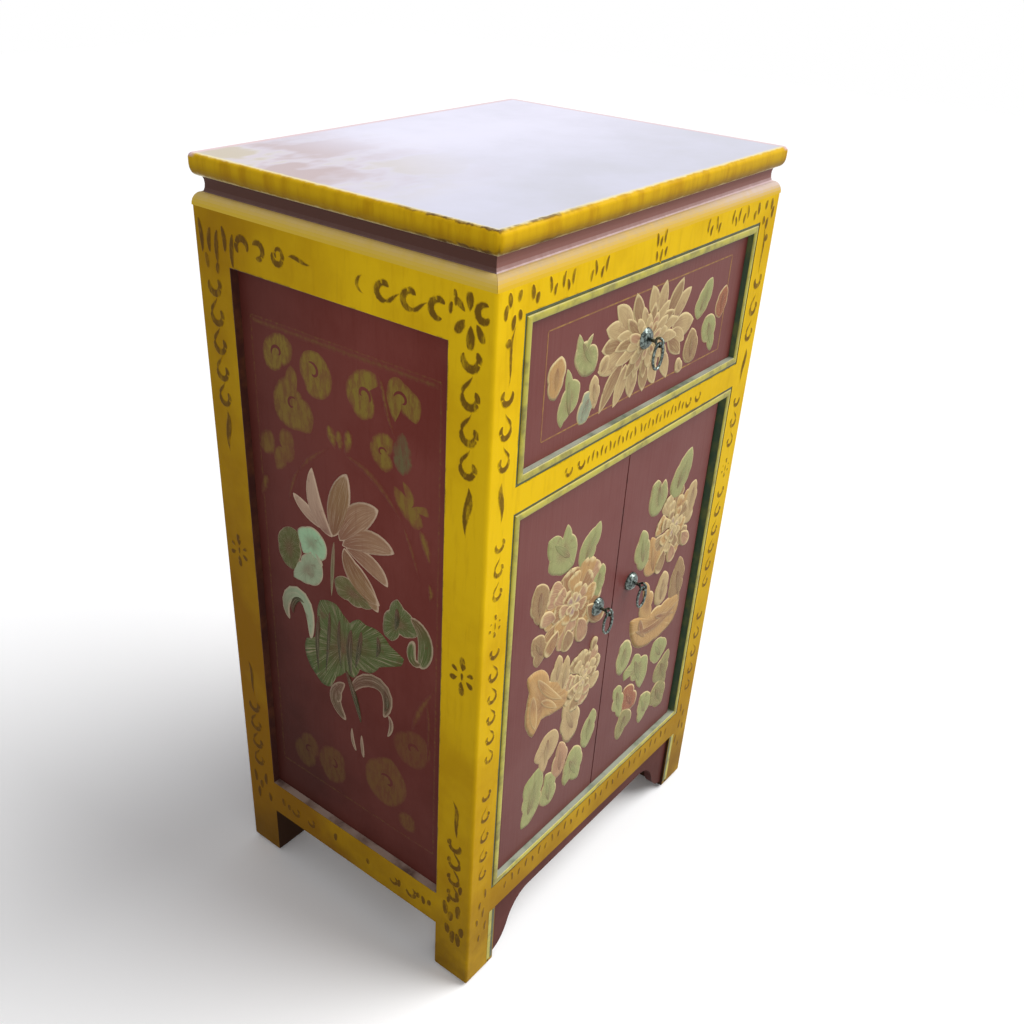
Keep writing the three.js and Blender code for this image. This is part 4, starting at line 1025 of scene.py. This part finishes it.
def paint_side_scrolls(board, name):
    """Thin old gold paint lies flat: edges over SHARP_FROM degrees stay sharp, so that shading doesn't round
    the rims. The curls are fainter below MID_HEIGHT."""
    work = Painting(board)
    border(work, (-106, 147), (106, 638), 3.0, OLIVE_GOLD)
    work.stroke(bend((-104, 634), (104, 634), rows=40), 7.0, linear(120, 88, 48), rise=0.03, fall=0.03,
                dome=0.05)
    patches(work, [(faint(OLIVE_GOLD, cover), lift, rim) for cover, lift, rim in (
        (0.9, 0.0, (
            (-94, 614), (-91, 596), (-82, 593), (-70, 601), (-57, 611), (-55, 624), (-64, 631), (-83, 627))),
        (0.9, 0.1, (
            (-43, 625), (-25, 628), (-12, 617), (-9, 598), (-15, 588), (-29, 582), (-40, 584), (-46, 596),
            (-51, 608))),
        (0.7, 0.0, (
            (-60, 608), (-52, 602), (-53, 587), (-46, 580), (-37, 576), (-33, 562), (-38, 548), (-53, 546),
            (-69, 545), (-82, 552), (-86, 566), (-81, 583), (-68, 595))),
        (0.5, 0.0, ((-102, 533), (-89, 537), (-85, 525), (-91, 511), (-105, 512))),
        (0.5, 0.0, ((-75, 545), (-63, 544), (-60, 529), (-71, 510), (-87, 498), (-89, 508), (-78, 525))),
        (1.0, 0.0, (
            (3, 604), (10, 618), (24, 627), (39, 627), (43, 617), (32, 610), (37, 600), (35, 586),
            (20, 580), (9, 590))),
        (0.9, 0.1, (
            (52, 628), (60, 632), (69, 628), (77, 624), (87, 617), (87, 602), (83, 595), (72, 598),
            (64, 601), (58, 589), (50, 601), (48, 617))),
        (0.9, 0.0, (
            (31, 567), (38, 576), (51, 580), (57, 576), (54, 560), (57, 549), (48, 542), (37, 547),
            (31, 554))),
        (0.8, 0.0, (
            (56, 536), (66, 544), (69, 531), (77, 522), (86, 519), (94, 528), (97, 519), (90, 508),
            (82, 501), (72, 507), (63, 514), (57, 523))),
        (0.21, 0.0, ((-79, 191), (-63, 206), (-52, 199), (-56, 174), (-70, 152), (-82, 156))),
        (0.24, 0.0, ((-49, 192), (-34, 206), (-17, 206), (-12, 185), (-22, 158), (-37, 153), (-48, 165))),
        (0.3, 0.0, (
            (14, 203), (31, 229), (52, 239), (63, 230), (73, 211), (65, 185), (46, 170), (27, 174),
            (16, 186))),
        (0.3, 0.0, ((62, 175), (76, 181), (84, 170), (76, 154), (65, 155))),
        (0.21, 0.0, ((52, 262), (68, 283), (88, 290), (100, 283), (98, 258), (81, 241), (63, 243))),
    )], dome=0.06)
    patches(work, (
        (faint(GREY_OLIVE, 0.8), 0.2, (
            (59, 576), (67, 587), (74, 578), (77, 565), (67, 545), (59, 550), (56, 562))),
    ), dome=0.06)
    lines(work, (
        (((41, 625), (49, 614), (47, 596), (60, 576)), 6), (((86, 504), (93, 494), (97, 475)), 11),
        (((96, 457), (101, 447), (97, 440)), 7), (((-17, 565), (-14, 556), (-9, 545)), 12),
        (((-6, 564), (-4, 555), (-3, 545)), 11), (((6, 568), (8, 558), (2, 544)), 12),
        (((68, 500), (77, 482), (86, 456)), 5),
    ), OLIVE_GOLD)
    lines(work, (
        (((2, 543), (28, 542), (48, 526), (68, 502)), 8), (((78, 289), (87, 320), (104, 347)), 9),
        (((-99, 490), (-103, 479), (-109, 466)), 11), (((96, 334), (100, 301), (97, 263)), 5),
        (((-55, 510), (-41, 529), (-16, 544)), 6), (((-71, 474), (-67, 496), (-55, 512)), 6),
    ), faint(OLIVE_GOLD, 0.45))
    curls = (
        ((-75, 612), 13, 200, -300), ((-33, 607), 14, 120, -290), ((-60, 570), 12, 60, 280),
        ((24, 604), 14, 330, 300), ((66, 611), 14, 170, -290), ((44, 560), 9, 20, 290),
        ((-66, 180), 11, 60, 250), ((-30, 182), 12, 90, -260), ((46, 204), 16, 150, -290),
        ((78, 264), 14, 20, 260),
    )
    for centre, radius, start, sweep in curls:
        dim = 1.0 if centre[1] > MID_HEIGHT else 0.3
        work.stroke(curl(centre, radius * 0.62, start, sweep * 0.85, radius * 0.12, rows=28), radius * 0.26,
                    faint(EYE, dim * 0.4), rise=0.5, fall=0.7, dome=0.04, lift=0.12)
    scrolls = work.finish(name, gold_brush, "carcass", "maroon_paint")
    scrolls.data.set_sharp_from_angle(angle=math.radians(SHARP_FROM))
    return scrolls


# %% Lotus and its leaves
PETAL = linear(164, 126, 96)
PETAL_PALE = linear(188, 156, 132)
PETAL_DARK = linear(148, 114, 78)
JADE = linear(166, 204, 162)
JADE_GREY = linear(160, 176, 142)
LEAF_GREEN = linear(80, 96, 48)
DEEP_GREEN = linear(84, 90, 44)
VEIN_GREEN = linear(52, 58, 30)
OLIVE_LEAF = linear(100, 98, 54)
ROOT = linear(104, 84, 62)


def paint_lotus(board, name):
    """The lotus: roots and stem, leaves and their veins, then a fan of petals laid one over another."""
    work = Painting(board)
    work.stroke(bend((-16, 452), (-20, 420), (-22, 392), rows=FEW), 5.0, faint(DEEP_GREEN, 0.3), dome=0.25)
    lines(work, (
        (((-9, 297), (-30, 278), (-25, 263), (-9, 252)), 17),
        (((1, 292), (7, 319), (51, 339), (54, 309), (42, 284)), 17), (((48, 289), (56, 281), (47, 263)), 6),
        (((-1, 246), (-2, 228), (4, 220)), 5), (((12, 244), (12, 228), (14, 217)), 5),
        (((-20, 292), (-16, 280), (-20, 268)), 10),
    ), faint(ROOT, 0.55), rise=0.5, fall=0.5, dome=0.35, lift=0.1)
    patches(work, (
        (LEAF_GREEN, 0.2, (
            (-45, 368), (-40, 383), (-28, 388), (-16, 388), (-8, 380), (1, 374), (14, 385), (24, 382),
            (36, 384), (46, 381), (55, 373), (64, 370), (74, 366), (68, 354), (56, 349), (41, 341),
            (28, 326), (13, 324), (4, 308), (-8, 309), (-22, 296), (-30, 278), (-43, 276), (-51, 283),
            (-59, 290), (-65, 301), (-67, 314), (-63, 326), (-52, 330), (-44, 332), (-41, 346), (-45, 358))),
        (LEAF_GREEN, 0.3, (
            (43, 379), (42, 394), (50, 411), (60, 427), (68, 420), (80, 414), (88, 402), (76, 391),
            (63, 389), (52, 376))),
        (OLIVE_LEAF, 0.2, (
            (-19, 413), (-3, 422), (8, 418), (17, 414), (30, 411), (34, 404), (17, 396), (-1, 396),
            (-15, 397))),
        (DEEP_GREEN, 0.1, (
            (-86, 439), (-73, 447), (-63, 446), (-60, 431), (-62, 413), (-73, 397), (-83, 399), (-90, 407),
            (-92, 420))),
        (JADE_GREY, 0.3, (
            (-62, 414), (-54, 425), (-44, 431), (-34, 426), (-31, 414), (-35, 400), (-51, 391), (-64, 390),
            (-74, 390), (-70, 404))),
        (JADE, 0.5, (
            (-64, 447), (-53, 454), (-41, 457), (-32, 453), (-25, 443), (-27, 429), (-35, 423), (-47, 428),
            (-58, 423), (-61, 433))),
    ))
    lines(work, (
        (((-82, 339), (-100, 366), (-61, 392), (-48, 376), (-53, 329)), 16),
        (((-50, 446), (-42, 434), (-32, 420)), 6),
    ), faint(JADE_GREY, 0.6), rise=0.5, fall=0.45, dome=0.4, lift=0.4)
    lines(work, (
        (((76, 413), (98, 405), (96, 384), (87, 365)), 19),
        (((90, 371), (75, 359), (74, 378), (80, 390)), 12),
    ), faint(LEAF_GREEN, 0.7), rise=0.5, fall=0.45, dome=0.4, lift=0.3)
    lines(work, (
        (((-12, 370), (-16, 345), (-12, 314)), 5), (((3, 366), (-3, 340), (1, 312)), 9),
        (((16, 370), (13, 348), (7, 324)), 7), (((-25, 373), (-27, 340), (-34, 298)), 5),
        (((-40, 362), (-46, 330), (-44, 296)), 6), (((36, 374), (40, 362), (34, 350)), 6),
        (((-76, 349), (-79, 362), (-67, 374), (-59, 367)), 7), (((60, 416), (62, 404), (58, 392)), 7),
        (((-6, 315), (6, 287), (12, 261)), 7), (((44, 316), (50, 304), (44, 292)), 7),
    ), faint(VEIN_GREEN, 0.0), dome=0.15, lift=0.75)
    petals = (
        (bend((-25, 461), (-50, 469), (-66, 483)), 15, PETAL_PALE, 0.1),
        (bend((6, 443), (22, 418), (37, 401)), 22, PETAL_DARK, 0.15),
        (bend((-3, 451), (5, 421), (39, 409)), 25, PETAL_DARK, 0.3),
        (bend((-1, 452), (33, 452), (49, 433)), 20, PETAL, 0.25),
        (bend((-5, 453), (26, 477), (57, 470)), 25, PETAL, 0.4),
        (bend((-8, 457), (8, 490), (39, 505)), 28, PETAL, 0.5),
        (bend((-17, 457), (-46, 471), (-40, 517)), 20, PETAL_PALE, 0.5),
        (bend((-16, 458), (-11, 491), (3, 526)), 27, PETAL_DARK, 0.7),
    )
    for line, width, paint, lift in petals:
        work.stroke(line, width, paint, rise=0.7, fall=0.7, dome=0.4, lift=lift)
    return work.finish(name, lotus_paint, "carcass", "maroon_paint")


for board, side in ((left_board, "left"), (right_board, "right")):
    paint_side_scrolls(board, side + "_panel_scrolls")
    paint_lotus(board, side + "_panel_lotus")


# %% [markdown]
# ## Drawer and doors
# The drawer carries a wide open flower behind its pull, with buds and leaves to both sides. Each door has
# a spray of peonies. An open flower is rings of pointed petals, each ring smaller and laid over the last. A
# peony's petals end in scallops.

# %% Flowers
SAND = linear(186, 160, 114)
SAND_DARK = linear(150, 120, 82)
OCHRE = linear(184, 144, 90)
ROSE_SAND = linear(176, 136, 104)
BROWN_PETAL = linear(154, 114, 76)
MAUVE = linear(162, 130, 122)
RUST = linear(150, 88, 62)
LEAF = linear(152, 156, 100)
LEAF_DARK = linear(136, 130, 82)
TEAL = linear(144, 158, 132)
generator = np.random.default_rng(7)


def petal_ring(work, centre, reach, count, width, paints, root=0.35, start=0.0, lift=0.0, scallop=(0, 0.0),
               rise=0.8, fall=0.5, spread=0.08):
    """Petals from root x reach out to an ellipse with the two half axes in reach; odd ones lie on top, and
    each is a little longer or shorter by chance."""
    centre = np.array(centre, float)
    for index in range(count):
        angle = math.radians(start + index * 360 / count + generator.uniform(-6, 6))
        rim = np.array([math.cos(angle) * reach[0], math.sin(angle) * reach[1]])
        rim *= 1 + generator.uniform(-spread, spread)
        sideways = np.array([-rim[1], rim[0]]) * generator.uniform(-0.12, 0.12)
        line = bend(centre + rim * root, centre + rim * 0.65 + sideways, centre + rim)
        work.stroke(line, width, paints[index % len(paints)], rise=rise, fall=fall, dome=0.35,
                    lift=lift + 0.14 * (index % 2), ripple=scallop)


def petals_to(work, petals, paints, lift=0.0, fall=0.85):
    """Pointed petals given as (base, tip, width), bowed a little in turn to each side."""
    for index, (base, tip, width) in enumerate(petals):
        base, tip = np.array(base, float), np.array(tip, float)
        side = np.array([tip[1] - base[1], base[0] - tip[0]]) * 0.1 * (-1) ** index
        work.stroke(bend(base, (base + tip) / 2 + side, tip), width, paints[index % len(paints)], rise=0.75,
                    fall=fall, dome=0.35, lift=lift + 0.14 * (index % 2))


def sprays(work, shapes):
    """Leaves given as (paint, lift, rim points), each with a dark blade on the line to its farthest point."""
    patches(work, shapes)
    for paint, lift, rim in shapes:
        rim = np.array(rim, float)
        centre = rim.mean(axis=0)
        far = max(rim - centre, key=lambda spoke: math.hypot(*spoke))
        work.stroke(bend(centre - far * 0.45, centre + far * 0.55, rows=FEW),
                    np.hypot(*(rim - centre).T).mean() * 0.4,
                    faint(tuple(0.78 * part for part in paint[:3]), 0.0), dome=0.08, lift=lift + 0.36)


def peony(work, centre, reach, paints, start=0.0, lift=0.0):
    """Broad scalloped petals in three rings, and a close heart of small upright ones."""
    across, up = reach
    petal_ring(work, centre, (across, up), 9, across * 0.7, paints, root=0.25, start=start, lift=lift,
               scallop=(3, 1.6), rise=1.2, fall=0.34)
    petal_ring(work, centre, (across * 0.74, up * 0.74), 8, across * 0.5, paints[::-1], root=0.2,
               start=start + 25, lift=lift + 0.35, scallop=(3, 1.2), rise=1.2, fall=0.36)
    petal_ring(work, centre, (across * 0.5, up * 0.5), 7, across * 0.36, paints, root=0.15, start=start + 8,
               lift=lift + 0.7, scallop=(2, 0.9), rise=1.1, fall=0.4)
    petal_ring(work, centre, (across * 0.27, up * 0.3), 6, across * 0.22, (MAUVE, paints[0]), root=0.0,
               start=start, lift=lift + 1.0, rise=1.0, fall=0.5)


# %% The drawer front
def paint_drawer():
    """An open flower in four layers of pointed petals, with buds and leaves to both sides."""
    work = Painting(leaf_face)
    petals_to(work, (
        ((-22, 642), (-49, 671), 19), ((-6, 644), (-20, 675), 19), ((12, 646), (4, 676), 18),
        ((24, 646), (27, 676), 18), ((34, 644), (56, 672), 19), ((46, 636), (72, 660), 18),
        ((46, 630), (84, 628), 24), ((40, 620), (66, 600), 17), ((-28, 638), (-62, 655), 20),
        ((-30, 629), (-69, 621), 22), ((-30, 620), (-61, 582), 18), ((-26, 616), (-40, 581), 19),
        ((-12, 612), (-13, 582), 19), ((2, 610), (6, 582), 18), ((16, 608), (26, 584), 16),
        ((30, 612), (46, 583), 17), ((-36, 634), (-66, 638), 18), ((44, 626), (70, 612), 17),
    ), (SAND, SAND_DARK, SAND))
    petal_ring(work, (4, 629), (50, 33), 15, 13, (SAND, SAND_DARK), root=0.3, start=10, lift=0.35, rise=0.8,
               fall=0.8)
    petal_ring(work, (5, 629), (34, 25), 12, 12, (SAND, SAND, ROSE_SAND), root=0.25, start=4, lift=0.7,
               fall=0.7)
    petal_ring(work, (6, 629), (20, 16), 9, 9, (ROSE_SAND, BROWN_PETAL), root=0.25, start=12, lift=1.0)
    sprays(work, (
        (OCHRE, 0.0, (
            (-137, 644), (-130, 648), (-122, 650), (-115, 641), (-117, 630), (-121, 620), (-127, 614),
            (-135, 618), (-138, 630))),
        (LEAF, 0.1, (
            (-113, 639), (-104, 627), (-92, 620), (-92, 610), (-96, 599), (-105, 595), (-113, 590),
            (-116, 585), (-123, 604), (-120, 611), (-114, 620))),
        (TEAL, 0.2, (
            (-86, 609), (-78, 609), (-70, 597), (-74, 588), (-80, 580), (-91, 581), (-94, 595), (-89, 602))),
        (SAND, 0.3, ((-78, 617), (-73, 621), (-65, 610), (-64, 597), (-69, 588), (-76, 596), (-79, 607))),
        (LEAF, 0.0, (
            (-103, 649), (-100, 662), (-93, 653), (-88, 653), (-83, 648), (-80, 657), (-74, 645),
            (-70, 632), (-74, 623), (-87, 622), (-99, 631), (-105, 641))),
        (SAND, 0.4, ((-68, 626), (-63, 632), (-53, 632), (-53, 624), (-59, 617), (-65, 616), (-68, 621))),
        (LEAF, 0.1, (
            (111, 662), (114, 648), (109, 637), (101, 628), (90, 624), (82, 637), (87, 646), (95, 655))),
        (RUST, 0.1, ((141, 648), (146, 634), (143, 623), (135, 615), (123, 625), (125, 636), (132, 645))),
        (LEAF, 0.2, (
            (118, 626), (129, 616), (129, 603), (131, 592), (127, 585), (116, 597), (104, 605), (101, 616),
            (106, 625))),
        (SAND_DARK, 0.4, (
            (83, 621), (95, 611), (99, 596), (95, 586), (86, 585), (75, 591), (72, 604), (76, 613))),
        (SAND, 0.4, ((63, 597), (71, 593), (74, 583), (67, 581), (60, 588))),
    ))
    return work.finish("drawer_flower", peony_paint, "drawer", "maroon_paint")


def gold_lines(low, high, name, body):
    """A thin gold line round a rectangle of the leaf face, on a body."""
    work = Painting(leaf_face)
    border(work, low, high, 1.6, GOLD)
    return work.finish(name, gold_line_brush, body, "maroon_paint")


paint_drawer()
gold_lines((-142, 584), (142, 674), "drawer_gold_border", "drawer")


# %% The doors
def paint_left_door():
    """Two peonies, the lower one beside a long folded leaf, under and over sprays of leaves."""
    work = Painting(leaf_face)
    peony(work, (-42, 296), (31, 36), (ROSE_SAND, SAND, SAND_DARK), start=50)
    peony(work, (-72, 398), (47, 44), (ROSE_SAND, OCHRE, BROWN_PETAL), start=20)
    petals_to(work, (
        ((-48, 384), (-16, 358), 22), ((-62, 376), (-50, 346), 22), ((-78, 372), (-72, 348), 22),
        ((-94, 380), (-112, 360), 20), ((-100, 396), (-124, 404), 18), ((-30, 322), (-24, 336), 12),
    ), (BROWN_PETAL, ROSE_SAND, SAND_DARK), lift=1.0, fall=0.45)
    sprays(work, (
        (LEAF, 0.2, (
            (-121, 486), (-109, 487), (-98, 479), (-92, 492), (-83, 478), (-73, 465), (-73, 450),
            (-76, 440), (-89, 437), (-104, 442), (-118, 452), (-117, 463))),
        (LEAF, 0.1, (
            (-37, 473), (-34, 457), (-41, 446), (-46, 433), (-53, 423), (-65, 429), (-71, 446), (-68, 457),
            (-58, 466), (-46, 470))),
        (LEAF, 0.2, ((-26, 422), (-20, 404), (-23, 391), (-30, 383), (-41, 398), (-41, 411), (-34, 416))),
        (SAND_DARK, 0.4, (
            (-132, 447), (-118, 442), (-111, 430), (-113, 417), (-119, 406), (-125, 400), (-134, 412),
            (-139, 430), (-137, 440))),
        (SAND_DARK, 0.4, (
            (-133, 390), (-121, 390), (-111, 378), (-106, 364), (-113, 357), (-122, 352), (-129, 368),
            (-134, 379))),
        (SAND, 0.5, ((-87, 349), (-79, 335), (-80, 321), (-88, 308), (-96, 319), (-94, 337))),
        (SAND, 0.6, ((-72, 341), (-67, 322), (-72, 305), (-78, 292), (-83, 304), (-81, 325))),
    ))
    patches(work, (
        (OCHRE, 0.7, (
            (-138, 350), (-128, 352), (-114, 348), (-99, 325), (-74, 306), (-61, 285), (-66, 276),
            (-85, 278), (-100, 282), (-109, 283), (-115, 274), (-121, 268), (-131, 282), (-136, 299),
            (-135, 314), (-132, 330))),
    ))
    lines(work, (
        (((-120, 338), (-104, 312), (-76, 290)), 12), (((-126, 322), (-124, 296), (-118, 278)), 14),
        (((-112, 308), (-98, 298), (-84, 284)), 10),
    ), faint(OCHRE, 0.5), dome=0.3, lift=1.0)
    sprays(work, (
        (SAND, 0.0, (
            (-71, 279), (-58, 277), (-43, 260), (-40, 240), (-45, 224), (-55, 220), (-68, 238), (-71, 260))),
        (SAND, 0.1, (
            (-99, 259), (-82, 258), (-72, 241), (-77, 227), (-89, 219), (-96, 205), (-106, 225),
            (-116, 236), (-109, 249))),
        (ROSE_SAND, 0.4, (
            (-71, 233), (-58, 219), (-57, 198), (-64, 183), (-71, 182), (-82, 202), (-77, 217))),
        (LEAF, 0.1, ((-13, 241), (-6, 216), (-9, 200), (-20, 188), (-32, 209), (-31, 224), (-21, 234))),
        (LEAF, 0.6, (
            (-43, 209), (-26, 191), (-26, 169), (-29, 154), (-46, 164), (-54, 159), (-60, 180), (-57, 195),
            (-51, 205))),
        (LEAF, 0.1, (
            (-103, 224), (-94, 204), (-97, 186), (-100, 163), (-107, 155), (-115, 149), (-129, 151),
            (-127, 174), (-128, 194), (-128, 214), (-117, 220))),
        (LEAF, 0.4, ((-92, 204), (-72, 179), (-72, 160), (-78, 154), (-94, 160), (-98, 180), (-94, 190))),
    ))
    return work.finish("left_door_flowers", peony_paint, "left_door", "maroon_paint")


def paint_right_door():
    """Nothing is painted past 146 across, because with the door open that strip stands inside the lining of
    the opening."""
    work = Painting(leaf_face)
    peony(work, (104, 407), (36, 42), (SAND, OCHRE, SAND_DARK), start=0)
    petals_to(work, (
        ((104, 384), (112, 362), 18), ((90, 384), (82, 358), 20), ((124, 390), (142, 372), 18),
    ), (ROSE_SAND, SAND_DARK), lift=0.9, fall=0.45)
    sprays(work, (
        (LEAF, 0.4, (
            (122, 490), (127, 472), (124, 459), (116, 447), (107, 436), (92, 440), (85, 454), (89, 466),
            (98, 477), (107, 485))),
        (LEAF, 0.5, (
            (50, 473), (59, 476), (68, 467), (75, 471), (81, 460), (84, 449), (79, 440), (69, 432),
            (57, 434), (47, 449), (48, 461))),
        (SAND, 0.4, (
            (141, 446), (146, 433), (146, 418), (142, 407), (134, 399), (125, 421), (125, 436), (132, 445))),
        (OCHRE, 0.2, ((62, 412), (78, 394), (87, 372), (84, 362), (68, 360), (54, 373), (61, 384))),
        (LEAF, 0.4, ((42, 428), (57, 411), (62, 395), (62, 381), (52, 375), (38, 389), (31, 403), (36, 416))),
        (SAND_DARK, 0.3, (
            (131, 359), (144, 343), (146, 323), (144, 305), (144, 289), (130, 299), (117, 325), (122, 346))),
        (SAND, 0.8, ((100, 354), (112, 330), (110, 312), (98, 310), (86, 326), (89, 341))),
    ))
    patches(work, (
        (OCHRE, 0.6, ((61, 359), (75, 341), (82, 319), (83, 297), (64, 309), (63, 335))),
        (OCHRE, 0.8, (
            (39, 320), (52, 319), (70, 309), (84, 309), (105, 308), (127, 309), (145, 307), (146, 283),
            (139, 270), (119, 265), (96, 265), (77, 267), (62, 273), (46, 293))),
    ))
    lines(work, (
        (((54, 300), (84, 280), (120, 288), (142, 296)), 12), (((60, 312), (62, 296), (76, 282)), 12),
        (((92, 300), (112, 290), (136, 284)), 9),
    ), faint(BROWN_PETAL, 0.3), dome=0.3, lift=1.1)
    sprays(work, (
        (LEAF, 0.0, ((36, 299), (50, 285), (52, 267), (46, 257), (35, 253), (24, 269), (25, 286), (27, 296))),
        (LEAF, 0.1, ((99, 262), (121, 258), (134, 240), (125, 230), (116, 224), (102, 232), (95, 251))),
        (LEAF, 0.2, (
            (61, 268), (76, 256), (91, 250), (95, 233), (94, 218), (84, 206), (70, 226), (57, 240),
            (42, 240), (39, 253), (53, 258))),
        (LEAF_DARK, 0.3, (
            (140, 233), (143, 213), (142, 196), (142, 179), (126, 191), (111, 200), (111, 217), (124, 226))),
        (LEAF_DARK, 0.6, (
            (140, 186), (144, 163), (142, 151), (120, 160), (108, 174), (112, 188), (123, 195))),
        (LEAF, 0.4, ((87, 196), (107, 190), (114, 170), (105, 160), (92, 151), (86, 169), (85, 184))),
        (RUST, 0.0, ((47, 229), (71, 213), (76, 189), (63, 189), (47, 210))),
        (LEAF, 0.2, ((24, 241), (33, 243), (44, 226), (48, 206), (46, 188), (34, 204), (27, 224))),
        (LEAF_DARK, 0.4, ((49, 198), (65, 191), (73, 172), (60, 166), (48, 155), (39, 169), (42, 186))),
    ))
    return work.finish("right_door_flowers", peony_paint, "right_door", "maroon_paint")


paint_left_door()
paint_right_door()
